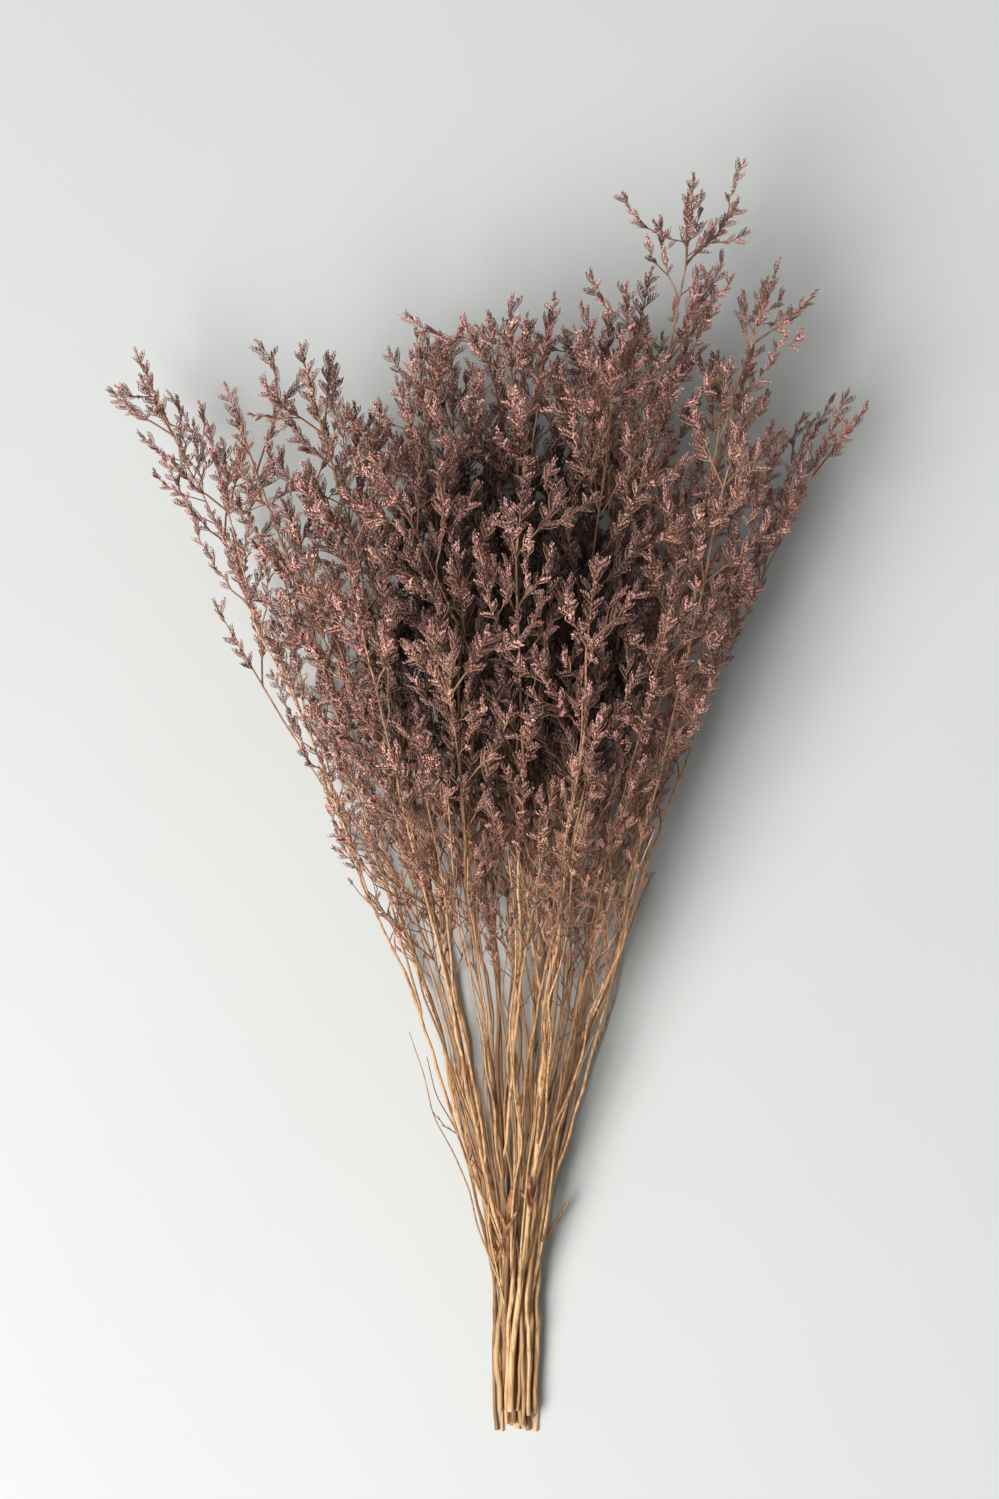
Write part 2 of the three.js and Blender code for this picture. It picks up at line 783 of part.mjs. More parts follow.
// A leaf scrap is an arched blade. Its rings run round it from edge to edge.
function growLeaf([x, y, length, halfWidth, turn], shoots, random) {
  const skin = new Skin();
  const rows = [...Array(LEAF_ROWS).keys()].map((i) => {
    const t = i / (LEAF_ROWS - 1);
    const along = (t - 0.5) * length;
    const belly = Math.sin(Math.PI * Math.min(0.96, 0.15 + 0.8 * t));
    const half = halfWidth * (0.25 + 0.75 * belly) * random(0.85, 1.1);
    const middle = new THREE.Vector3(x + along * Math.sin(turn), y + along * Math.cos(turn), 0);
    middle.z = stemsTop(shoots, middle.x, middle.y, halfWidth + 2) + LEAF_GAP + LEAF_CURL * t ** 3;
    return { middle, half };
  });
  // The blade lies on the highest stems and slopes gently from them.
  const heights = rows.map(({ middle }) => middle.z);
  const drop = (LEAF_SLOPE * length) / (LEAF_ROWS - 1);
  rows.forEach(({ middle }, i) => {
    middle.z = Math.max(...heights.map((z, j) => z - drop * Math.abs(i - j)));
  });
  const across = new THREE.Vector3(Math.cos(turn), -Math.sin(turn), 0);
  const rings = rows.map(({ middle, half }) => {
    const corner = (side, up) => {
      const place = middle.clone().addScaledVector(across, side * half);
      place.z += up * LEAF_THICKNESS + (side === 0 ? LEAF_ARCH : 0);
      return skin.add(place);
    };
    return [corner(-1, 0), corner(-1, 1), corner(0, 1), corner(1, 1), corner(1, 0), corner(0, 0)];
  });
  skin.cap(rings[0], true);
  for (let i = 1; i < rings.length; i++) skin.wall(rings[i - 1], rings[i]);
  skin.cap(rings.at(-1), false);
  return skin;
}

function toMesh(skin, name, colour) {
  const geometry = new THREE.BufferGeometry();
  const positions = skin.points.flatMap((point) => point.clone().sub(MIDDLE).toArray());
  geometry.setAttribute("position", new THREE.Float32BufferAttribute(positions, 3));
  geometry.setIndex(skin.triangles.flat());
  geometry.computeVertexNormals();
  const material = new THREE.MeshStandardMaterial({ color: colour, roughness: 0.85, metalness: 0 });
  const mesh = new THREE.Mesh(geometry, material);
  mesh.name = name;
  return mesh;
}

const numbered = (name, i) => `${name}_${String(i + 1).padStart(2, "0")}`;

function makeBunch() {
  const random = makeRandom(SEED);
  const shoots = chooseShoots(random);
  relax(shoots);
  for (const shoot of shoots) setSplit(shoot, random);
  for (const shoot of shoots) setForkJoints(shoot);
  const lines = new Lines();
  for (const shoot of shoots) {
    for (let k = 1; k < shoot.bends.length; k++) {
      lines.add(shoot.bends[k - 1], shoot.bends[k], radiusAt(shoot, shoot.bends[k - 1].y), shoot);
    }
  }
  for (const shoot of shoots) {
    if (!shoot.bare) shoot.tipPath = layTip(shoot);
  }
  growTwigs(shoots, lines, random);
  for (const shoot of shoots) {
    if (shoot.bare) continue;
    setFlorets(shoot.tipPath, shoot, lines, random);
    for (const joint of Object.values(shoot.joints)) {
      for (const child of joint.children) {
        if (child.points) setFlorets(child, null, lines, random);
      }
    }
  }
  const bunch = new THREE.Group();
  bunch.name = "dried_statice";
  const stems = shoots.filter((shoot) => !shoot.parent);
  const heads = shoots.filter((shoot) => !shoot.bare && shoot.split !== null);
  stems.forEach((stem, i) => bunch.add(toMesh(growStem(stem), numbered("stem", i), STEM_COLOUR)));
  heads.forEach((shoot, i) => bunch.add(toMesh(growHead(shoot), numbered("head", i), HEAD_COLOUR)));
  LEAF_SCRAPS.forEach((row, i) => {
    bunch.add(toMesh(growLeaf(row, shoots, random), numbered("dry_leaf", i), LEAF_COLOUR));
  });
  return bunch;
}

export default makeBunch();
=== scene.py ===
import json
import math

import bpy
import numpy as np
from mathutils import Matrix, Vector

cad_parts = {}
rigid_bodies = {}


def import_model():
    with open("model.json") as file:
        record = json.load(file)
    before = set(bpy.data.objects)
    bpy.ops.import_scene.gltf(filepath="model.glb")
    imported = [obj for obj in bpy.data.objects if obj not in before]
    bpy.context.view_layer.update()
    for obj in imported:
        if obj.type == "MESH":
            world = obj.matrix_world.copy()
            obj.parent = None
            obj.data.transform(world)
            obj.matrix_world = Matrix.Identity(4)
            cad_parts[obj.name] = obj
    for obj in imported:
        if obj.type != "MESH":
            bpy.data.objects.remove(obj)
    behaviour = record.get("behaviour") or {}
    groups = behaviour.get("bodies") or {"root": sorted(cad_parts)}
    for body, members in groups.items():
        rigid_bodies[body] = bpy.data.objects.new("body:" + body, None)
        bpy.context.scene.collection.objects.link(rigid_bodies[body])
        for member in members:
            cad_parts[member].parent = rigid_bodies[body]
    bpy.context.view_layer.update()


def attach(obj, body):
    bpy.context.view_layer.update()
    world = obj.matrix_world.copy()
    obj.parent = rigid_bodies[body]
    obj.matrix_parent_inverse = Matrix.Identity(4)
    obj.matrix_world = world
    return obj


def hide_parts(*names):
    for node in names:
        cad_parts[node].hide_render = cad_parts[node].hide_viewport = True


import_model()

# The bunch's own measures, as in the part's source: millimetres, before it is centred.
CUT_Y = -351
CUT_RAGGED = 14
GRIP = np.array((18.0, -306.0, 9.0))
SPREAD = 0.024
TWIST = 0.7
STEM_RADIUS = 1.5
STEM_GIRTHS = (0.72, 1.32)
TIP_RADIUS = 0.62
FORK_SLIMMER = 0.8
STEM_SIDES = 5
TWIG_SIDES = 3
BEND_EVERY = 52
BEND_NEAR = 14
BEND_WANDER = 3
SHOOT_GAP = 0.6
JOINT_LENGTH = 4
FOOT_RISE = 5
FOOT_GAP = 0.6
SPLITS = (-125, -45)
TWIG_RADIUS = 0.6
TWIG_BARE = 12
TWIG_STEPS = (3, 5)
TWIG_STEP = 8.2
TWIG_LEAN = (0.8, 0.36)
TWIG_SPIN = 0.3
TWIG_CLEAR = 3.4
TWIG_ANGLES = 10
TWIG_DIP = -7
LINE_REACH = 22
TWIG_ROOM = (17, 12, 8, 5.5)
MOST_TWIGS = 191
MOST_AT_A_JOINT = 2
TIP_REACH = 50
TIP_STEPS = 6
INNER_FORKS = 17
INNER_DROPS = (110, 250)
SEED = 7
MIDDLE = np.array((-1.5, 0.0, 0.0))
MASS_MIDDLE = np.array((4.0, 150.0, 86.0))
MASS_HALF = np.array((124.0, 195.0, 72.0))
MASS_LOW_Y = 20
MASS_TOP_Y = 236
TOP_Y = 360
PLACE_TRIES = 40
SHORTEST_FORK = 85

# x, y and z of each tip, how it bows outwards and, for a fork, where it leaves its stem.
OUTLINE = (
    (-196, 259, 66, 1.3),
    (-153, 216, 84, 1.0, 100),
    (-153, 121, 40, 1.0, 10),
    (-140, 236, 112, 1.15, -115),
    (-98, 256, 120, 1.2),
    (-71, 229, 62, 1.1, 90),
    (-37, 266, 96, 1.15),
    (-19, 262, 44, 1.1),
    (17, 282, 108, 1.1),
    (34, 276, 84, 1.0, 140),
    (52, 262, 46, 1.15),
    (72, 262, 124, 1.2),
    (91, 301, 84, 1.2),
    (66, 280, 62, 1.1, 130),
    (116, 351, 96, 1.2),
    (161, 307, 84, 1.3),
    (151, 262, 58, 1.0, 180),
    (142, 227, 118, 0.9, -214),
    (204, 238, 52, 1.5),
    (180, 200, 82, 1.1, 60),
    (165, 207, 60, 1.25, -165),
    (89, -26, 60, 0.6, -129),
    (48, -219, 14, 1.0, -245),
)
FRONT = (
    (-75, 140, 140, 1.2),
    (-25, 113, 156, 1.2),
    (20, 188, 160, 1.15),
    (62, 140, 156, 1.2),
    (104, 130, 122, 1.25),
)
UNDER = (
    (-112, 142, 2, 1.2),
    (-72, 186, -4, 1.15),
    (-15, 196, -4, 1.1),
    (50, 206, -4, 1.15),
    (112, 186, -2, 1.25),
)
# A height, and how far to the left and to the right the bunch reaches there.
FAN = (
    (-120, -40, 62),
    (-26, -77, 88),
    (57, -112, 118),
    (168, -166, 174),
    (200, -196, 200),
    (235, -216, 216),
)


def lerp(a, b, t):
    return a + (b - a) * t


def clamp(x, low, high):
    return min(high, max(low, x))


def unit(v):
    return v / np.linalg.norm(v)


def run_axis(points, i):
    """The direction from one point of a chain to the next."""
    return unit(points[i + 1] - points[i])


def turned(v, axis, angle):
    """v turned about a unit axis."""
    c, s = math.cos(angle), math.sin(angle)
    return v * c + np.cross(axis, v) * s + axis * (axis @ v) * (1 - c)


def make_random(seed):
    state = seed * 7919 + 17

    def following():
        nonlocal state
        state = state * 48271 % 2147483647
        return state / 2147483647

    following()
    return lambda low=0.0, high=1.0: lerp(low, high, following())


# The shoots: the same draws and the same steps as in the part's source, so that each lies where
# its solid lies.


class Shoot:
    def __init__(self, row, parent, start_y, random):
        x, y, z, self.bow = row[:4]
        self.tip = (x, y, z)
        self.parent = parent
        self.start_y = start_y
        self.tip_y = y
        self.bare = y < SPLITS[0]
        self.girth = parent.girth * FORK_SLIMMER if parent else random(*STEM_GIRTHS)
        self.forks = []
        self.joints = {}
        self.split = None
        self.tip_path = None
        self.bends = [self.first_place(y, random) for y in self.heights(random)]
        if parent:
            parent.forks.append(self)

    def heights(self, random):
        found = [self.tip_y]
        if not self.bare:
            found.append(self.tip_y - TIP_REACH)
        lowest = self.start_y + 24 if self.parent else GRIP[1] + 30
        while True:
            height = found[-1] - BEND_EVERY * random(0.85, 1.15)
            if height < lowest:
                break
            found.append(height)
        found.append(self.start_y + FOOT_RISE if self.parent else GRIP[1])
        found.append(self.start_y)
        return found[::-1]

    def first_place(self, y, random):
        x, z = self.fork_place(y) if self.parent else self.stem_place(y)
        wander = BEND_WANDER if y > max(GRIP[1], self.start_y) else 0
        x += wander * random(-1, 1)
        z += wander * random(-1, 1)
        return [x, y, z]

    def stem_place(self, y):
        t = ((y - GRIP[1]) / (self.tip_y - GRIP[1])) ** self.bow if y > GRIP[1] else 0
        c, s = math.cos(TWIST), math.sin(TWIST)
        dx = (self.tip[0] - GRIP[0]) * SPREAD * (1 - t)
        dz = (self.tip[2] - MASS_MIDDLE[2]) * SPREAD * (1 - t)
        x = lerp(GRIP[0], self.tip[0], t) + dx * c - dz * s
        z = lerp(GRIP[2], self.tip[2], t) + dx * s + dz * c
        return x, z

    def fork_place(self, y):
        foot = self.parent.at(self.start_y)
        t = ((y - self.start_y) / (self.tip_y - self.start_y)) ** self.bow
        return lerp(foot[0], self.tip[0], t), lerp(foot[2], self.tip[2], t)

    def radius(self, y):
        thin_at = self.parent.tip_y if self.bare else self.tip_y
        t = clamp((y - CUT_Y) / (thin_at - CUT_Y), 0, 1)
        return lerp(STEM_RADIUS * self.girth, TIP_RADIUS, t)

    def bend_below(self, y):
        k = 0
        while k < len(self.bends) - 2 and self.bends[k + 1][1] <= y:
            k += 1
        return k

    def at(self, y):
        k = self.bend_below(y)
        a, b = self.bends[k], self.bends[k + 1]
        t = (y - a[1]) / (b[1] - a[1])
        return [lerp(p, q, t) for p, q in zip(a, b)]

    def push(self, y, dx, dz):
        k = self.bend_below(y)
        a, b = self.bends[k], self.bends[k + 1]
        t = clamp((y - a[1]) / (b[1] - a[1]), 0, 1)
        if k > 0 or not self.parent:
            a[0] += dx * (1 - t)
            a[2] += dz * (1 - t)
        b[0] += dx * t
        b[2] += dz * t

    def axis(self, k):
        return unit(self.bends[k + 1] - self.bends[k - 1])

    def along(self, y):
        """The direction of the run that passes a height."""
        return run_axis(self.bends, self.bend_below(y))


def nearest_bend(parent, y):
    taken = [fork.start_y for fork in parent.forks]
    free = [b[1] for b in parent.bends[1:-1] if b[1] > GRIP[1] and b[1] not in taken]
    return min(free, key=lambda height: abs(height - y), default=None)


def listed_bend(stem, y):
    near = nearest_bend(stem, y)
    if near is not None and abs(near - y) < BEND_NEAR:
        return near
    x, _, z = stem.at(y)
    stem.bends.insert(stem.bend_below(y) + 1, [x, y, z])
    return y


def emptiest_place(shoots, random):
    best, best_gap = None, -1
    tips = np.array([shoot.tip for shoot in shoots], float)
    for _ in range(PLACE_TRIES):
        place = np.array((random(-1, 1), random(-1, 1), random(-1, 1)))
        if np.linalg.norm(place) > 1:
            continue
        place = place * MASS_HALF + MASS_MIDDLE
        if place[1] > MASS_TOP_Y or place[1] < MASS_LOW_Y:
            continue
        gap = np.linalg.norm(tips - place, axis=1).min()
        if gap > best_gap:
            best, best_gap = place, gap
    return best


def make_inner_fork(shoots, random):
    tip = emptiest_place(shoots, random)
    wanted = tip[1] - random(*INNER_DROPS)
    choices = []
    for stem in shoots:
        start_y = None if stem.parent else nearest_bend(stem, wanted)
        if start_y is None or tip[1] - start_y <= SHORTEST_FORK:
            continue
        foot = stem.at(start_y)
        lean = math.hypot(tip[0] - foot[0], tip[2] - foot[2]) / (tip[1] - start_y)
        choices.append((lean, stem, start_y))
    choices.sort(key=lambda choice: choice[0])
    _, stem, start_y = choices[min(len(choices) - 1, math.floor(random(0, 3)))]
    return Shoot((*tip, random(1.0, 1.2)), stem, start_y, random)


def choose_shoots(random):
    shoots = []
    stem = None
    for row in OUTLINE + FRONT + UNDER:
        if len(row) == 4:
            stem = Shoot(row, None, CUT_Y + CUT_RAGGED * random(), random)
            shoots.append(stem)
        else:
            shoots.append(Shoot(row, stem, listed_bend(stem, row[4]), random))
    for _ in range(INNER_FORKS):
        shoots.append(make_inner_fork(shoots, random))
    return shoots


ROUNDS = 140
SAMPLE_EVERY = 13
PUSH = 0.4
PUSH_REACH = 11
KIN_ABOVE_FOOT = 20
TWINS_ABOVE_FOOT = 12


def are_kin(a, b, y):
    if a.parent is b:
        return y < a.start_y + KIN_ABOVE_FOOT
    if b.parent is a:
        return y < b.start_y + KIN_ABOVE_FOOT
    is_twin = a.parent is not None and a.parent is b.parent
    return is_twin and y < max(a.start_y, b.start_y) + TWINS_ABOVE_FOOT


def push_apart(a, b, y):
    p, q = a.at(y), b.at(y)
    high_p, high_q = a.at(y + SAMPLE_EVERY), b.at(y + SAMPLE_EVERY)
    x, z = p[0] - q[0], p[2] - q[2]
    run_x, run_z = high_p[0] - high_q[0] - x, high_p[2] - high_q[2] - z
    along = run_x * run_x + run_z * run_z
    t = clamp(-(x * run_x + z * run_z) / along, 0, 1) if along > 1e-9 else 0
    x, z = x + run_x * t, z + run_z * t
    distance = math.hypot(x, z) + 1e-6
    need = 1.1 * (a.radius(y) + b.radius(y)) + SHOOT_GAP
    if distance >= need:
        return
    by = PUSH * (need - distance) / distance
    a.push(y + SAMPLE_EVERY * t, x * by, z * by)
    b.push(y + SAMPLE_EVERY * t, -x * by, -z * by)


def close_pairs(here, y):
    """The pairs of shoots that may need a push at this height."""
    low = np.array([shoot.at(y) for shoot in here])[:, ::2]
    high = np.array([shoot.at(y + SAMPLE_EVERY) for shoot in here])[:, ::2]
    first, second = np.triu_indices(len(here), 1)
    start = low[first] - low[second]
    run = high[first] - high[second] - start
    along = (run * run).sum(1)
    t = np.clip(-(start * run).sum(1) / np.maximum(along, 1e-9), 0, 1)
    near = np.linalg.norm(start + run * t[:, None], axis=1) < PUSH_REACH
    return zip(first[near], second[near])


def floor_height(shoot, y):
    sides = TWIG_SIDES if y > SPLITS[1] else STEM_SIDES
    return shoot.radius(y) * math.cos(math.pi / sides)


def foot_place(fork):
    y = fork.bends[1][1]
    at = fork.bends[2]
    out = unit(np.array(at) - fork.parent.at(at[1]))
    reach = fork.parent.radius(y) + fork.radius(y) + FOOT_GAP
    return list(fork.parent.at(y) + out * reach)


def relax(shoots):
    for turn in range(ROUNDS):
        for y in range(CUT_Y, TOP_Y, SAMPLE_EVERY):
            here = [s for s in shoots if s.start_y <= y + 1 and s.tip_y > y]
            if len(here) < 2:
                continue
            for i, j in close_pairs(here, y):
                if not are_kin(here[i], here[j], y):
                    push_apart(here[i], here[j], y)
        for shoot in shoots:
            for bend in shoot.bends:
                if bend[1] <= GRIP[1] and turn < ROUNDS / 2:
                    bend[2] -= 0.1
                bend[2] = max(bend[2], floor_height(shoot, bend[1]))
            if shoot.parent:
                shoot.bends[0] = shoot.parent.at(shoot.start_y)
                shoot.bends[1] = foot_place(shoot)
    for shoot in shoots:
        shoot.bends = [np.array(bend) for bend in shoot.bends]


def set_split(shoot, random):
    above = shoot.parent
    if shoot.bare or above and (above.split is None or shoot.start_y > above.split):
        return
    wanted = max(random(*SPLITS), shoot.start_y + 30)
    k = shoot.bend_below(min(wanted, shoot.bends[-2][1] - 5))
    shoot.split = clamp(wanted, shoot.bends[k][1] + 9, shoot.bends[k + 1][1] - 9)


# Twigs, which fan out of the joints round the bends.


def sideways(axis, angle):
    down = unit(np.array((0, 0, -1)) + axis * axis[2])
    return turned(down, axis, angle)


def square_to(direction, axis):
    return unit(direction - axis * (direction @ axis))


class Joint:
    def __init__(self, shoot, k, turn, children=0):
        self.shoot, self.k, self.turn, self.children = shoot, k, turn, children
        self.twigs = []


class Path:
    """A twig or tip: its points and end, the way each ring is turned, and its first flowers."""

    def __init__(self, points, end, side, spin, first):
        self.points, self.end, self.first = points, end, first
        self.sides = []
        for i in range(len(points)):
            before, after = points[max(0, i - 1)], points[min(len(points) - 1, i + 1)]
            axis = unit(after - before)
            side = square_to(side, axis)
            if i >= first:
                side = turned(side, axis, spin)
            self.sides.append(side)

    def chain(self):
        return [*self.points, self.end]


def lay_twig(joint, angle):
    shoot, k, steps = joint.shoot, joint.k, joint.steps
    axis = shoot.axis(k)
    out = sideways(axis, angle)
    reach = shoot.radius(shoot.bends[k][1]) + TWIG_RADIUS + 0.5
    place = shoot.bends[k] + out * reach + axis * (JOINT_LENGTH / 2 + 2)
    points = [place]
    dip = 0
    for i in range(steps + 2):
        length = TWIG_BARE if i == 0 else 6 if i == steps + 1 else TWIG_STEP
        lean = lerp(*TWIG_LEAN, i / (steps + 1)) + (0.12 if i % 2 else -0.12)
        place = place + out * (length * math.sin(lean)) + axis * (length * math.cos(lean))
        dip = min(dip, place[2])
        points.append(np.array((place[0], place[1], max(place[2], TWIG_RADIUS))))
    end = points.pop()
    twig = Path(points, end, -axis, joint.spin, 1)
    twig.dip = dip
    return twig


def lay_tip(shoot):
    start, end = shoot.bends[-2], shoot.bends[-1]
    side = sideways(unit(end - start), 0)
    points = []
    for i in range(1, TIP_STEPS):
        point = lerp(start, end, i / TIP_STEPS) + side * (1.1 if i % 2 else -1.1)
        point[2] = max(point[2], TWIG_RADIUS)
        points.append(point)
    return Path(points, end, side, TWIG_SPIN, 0)


class Lines:
    """What is placed so far, as lines with a radius and an owner."""

    def __init__(self):
        self.rows, self.owners = [], []

    def add(self, a, b, radius, owner):
        self.rows.append((*a, *b, radius))
        self.owners.append(owner)

    def gaps(self, starts, ends, owner):
        """The least gap between each of these lines and all the others."""
        rows = np.array(self.rows)
        rows = rows[[other is not owner for other in self.owners]]
        low = np.minimum(starts.min(0), ends.min(0)) - LINE_REACH
        high = np.maximum(starts.max(0), ends.max(0)) + LINE_REACH
        a, b = rows[:, :3], rows[:, 3:6]
        near = ((np.minimum(a, b) < high) & (np.maximum(a, b) > low)).all(1)
        a, b, radius = a[near], b[near], rows[near, 6]
        if not len(a):
            return np.full(len(starts), 99.0)
        return (line_distances(a, b, starts, ends) - radius[:, None]).min(0)


def line_distances(a, b, starts, ends):
    """The distance between every line of one set and every line of another."""
    one, two = (b - a)[:, None], (ends - starts)[None]
    between = a[:, None] - starts[None]
    along_one, along_two = (one * one).sum(2), (two * two).sum(2)
    f, c = (two * between).sum(2), (one * between).sum(2)
    both = (one * two).sum(2)
    denominator = along_one * along_two - both * both
    safe = np.where(denominator == 0, 1, denominator)
    s = np.where(denominator == 0, 0, np.clip((both * f - c * along_two) / safe, 0, 1))
    t = (both * s + f) / along_two
    s = np.where(t < 0, np.clip(-c / along_one, 0, 1), s)
    s = np.where(t > 1, np.clip((both - c) / along_one, 0, 1), s)
    t = np.clip(t, 0, 1)
    return np.linalg.norm(between + one * s[..., None] - two * t[..., None], axis=2)


def is_inside_fan(x, y):
    k = next((i for i, row in enumerate(FAN) if row[0] > y), -1)
    if k < 0:
        _, left, right = FAN[-1]
        return left < x < right
    low, high = FAN[max(1, k) - 1], FAN[max(1, k)]
    t = (y - low[0]) / (high[0] - low[0])
    return lerp(low[1], high[1], t) < x < lerp(low[2], high[2], t)


def twig_rooms(twigs, lines, owner, room):
    starts, ends = [], []
    for twig in twigs:
        chain = twig.chain()
        starts += [lerp(chain[0], chain[1], 0.4), *chain[1:-1]]
        ends += chain[1:]
    gaps = lines.gaps(np.array(starts), np.array(ends), owner).reshape(len(twigs), -1)
    least = np.minimum(gaps[:, 2:], room).min(1)
    return np.where(gaps.min(1) < TWIG_CLEAR, -1, least)


def twig_angles(joint):
    face = 2 * math.pi / TWIG_SIDES
    if joint.children:
        return [joint.turn + joint.children * face]
    if joint.shoot.bends[joint.k][2] < 3:
        return [face, 2 * face]
    return [joint.turn + i * 2 * math.pi / TWIG_ANGLES for i in range(TWIG_ANGLES)]


def try_twig(joint, lines, room):
    if joint.children == MOST_AT_A_JOINT:
        return False
    tries = [(angle, lay_twig(joint, angle)) for angle in twig_angles(joint)]
    tries = [(a, t) for a, t in tries if t.dip >= TWIG_DIP and is_inside_fan(t.end[0], t.end[1])]
    if not tries:
        return False
    rooms = twig_rooms([twig for _, twig in tries], lines, joint.shoot, room + 2)
    best = int(np.argmax(rooms))
    if rooms[best] <= TWIG_CLEAR or rooms[best] < room:
        return False
    angle, twig = tries[best]
    if not joint.children:
        joint.turn = angle
    joint.children += 1
    joint.twigs.append(twig)
    chain = twig.chain()
    for a, b in zip(chain, chain[1:]):
        lines.add(a, b, TWIG_RADIUS, twig)
    return True


def flowers_from(shoot):
    if shoot.bare:
        return math.inf
    stem = shoot.split if shoot.split is not None else shoot.parent.split
    return max(stem, shoot.start_y) + 8


def set_fork_joints(shoot):
    for fork in shoot.forks:
        k = next(i for i, bend in enumerate(shoot.bends) if bend[1] == fork.start_y)
        axis = shoot.axis(k)
        out = fork.bends[1] - fork.bends[0]
        down = sideways(axis, 0)
        turn = math.atan2(out @ np.cross(axis, down), out @ down)
        shoot.joints[k] = Joint(shoot, k, turn, children=1)


def grow_twigs(shoots, lines, random):
    joints = []
    for shoot in shoots:
        last = len(shoot.bends) - 2
        for k in range(1, last + 1):
            if shoot.bends[k][1] < flowers_from(shoot):
                continue
            if k not in shoot.joints:
                shoot.joints[k] = Joint(shoot, k, random(0, 2 * math.pi))
            few, many = TWIG_STEPS
            joint = shoot.joints[k]
            joint.steps = few if k == last else math.floor(random(few + 1, many + 1))
            joint.spin = TWIG_SPIN if random() < 0.5 else -TWIG_SPIN
            joint.order = random() - (1 if k == last else 0)
            joints.append(joint)
    joints.sort(key=lambda joint: joint.order)
    grown = 0
    for room in TWIG_ROOM:
        for joint in joints:
            if grown < MOST_TWIGS and try_twig(joint, lines, room):
                grown += 1


def make_shoots():
    random = make_random(SEED)
    shoots = choose_shoots(random)
    relax(shoots)
    for shoot in shoots:
        set_split(shoot, random)
    for shoot in shoots:
        set_fork_joints(shoot)
    lines = Lines()
    for shoot in shoots:
        for a, b in zip(shoot.bends, shoot.bends[1:]):
            lines.add(a, b, shoot.radius(a[1]), shoot)
    for shoot in shoots:
        if not shoot.bare:
            shoot.tip_path = lay_tip(shoot)
    grow_twigs(shoots, lines, random)
    return shoots


# From here on the shoots are dressed: the same paths as round, slightly crooked stems, and combs
# of small florets where the solids have one large floret, with more sprigs between them.

LOWEST = 0.02
UP = np.array((0, 0, 1.0))
ANY_ANGLE = 6.28

# A piece's map: the gap round each box, the room to spare and how long a tube's box may be.
MAP_GAP = 0.3
MAP_SLACK = 1.12
MAP_SECTION = 60

SLIMMER = 0.9
WOBBLE = 0.7
RUN_LENGTH = 13
SOFT_REACH = 7.0
SOFT_SHARE = 0.42
THIN_END = 0.35
KNOT_SHARE = 0.22
SWELLING = 0.3
SWELLING_REACH = 3.5

FLORET_LONG = 4.0
FLORET_WIDE = 0.54
STALK_RADII = np.array((0.42, 0.36, 0.26))
BARE_STALK = 0.12
SPIKE_TURN = 2.4
SPIKE_LEANS = (0.2, 0.42)
COMB_TILTS = (0.15, 0.65)
COMB_REACH = 9
COMB_MIDDLE = 5
MOST_COMBS = 13600
CROWD_CELL = 9
CROWD_LOW = np.array((-250, -180, -10))
CROWD_CELLS = (58, 68, 26)
SPRIG_TRIES = 3
SPRIG_LEAN = 0.95
SPRIG_LIMITS = (0.3, 0.6, 0.9, 1.3, 1.7, 2.2, 3.0)
BRANCH_TRIES = 6
HIGHEST_TWIG = 178
LOWEST_FLORETS = -92

WHIPS_A_STEM = 3
WHIP_STARTS = (-285, -165)
WHIP_RISES = (120, 250)
WHIP_DRIFTS = (8, 28)
WHIP_TRIES = 8
DEAD_TWIGS = 26
DEAD_TWIG_HEIGHTS = (-255, -105)
PALE_STRAND = 2.2

# x and y of each scrap's middle, its length and half width, and how it is turned.
LEAF_SCRAPS = (
    (13.0, -222.0, 27.0, 3.4, 0.12),
    (25.0, -211.0, 22.0, 2.5, -0.1),
    (8.0, -245.0, 15.0, 2.2, 0.3),
)
LEAF_GRID = (14, 6)
LEAF_CURL = 3
LEAF_HALF_THICK = 0.12
RIM_STEP = 0.8
RIM_HIGH = 0.3

rng = np.random.default_rng(5)


def fill(target, key, values, kind=np.float32):
    target.foreach_set(key, values.astype(kind).ravel())


def packed(sizes):
    """Boxes set on shelves in a square: each one's corner, and the square's side."""
    sizes = sizes + 2 * MAP_GAP
    side = max(math.sqrt(MAP_SLACK * sizes.prod(1).sum()), sizes.max())
    corners = np.zeros_like(sizes)
    x = y = row = 0.0
    for i in np.argsort(-sizes[:, 1], kind="stable"):
        wide, high = sizes[i]
        if x + wide > side:
            x, y, row = 0.0, y + row, 0.0
        corners[i] = (x + MAP_GAP, y + MAP_GAP)
        x, row = x + wide, max(row, high)
    return corners, max(side, y + row)


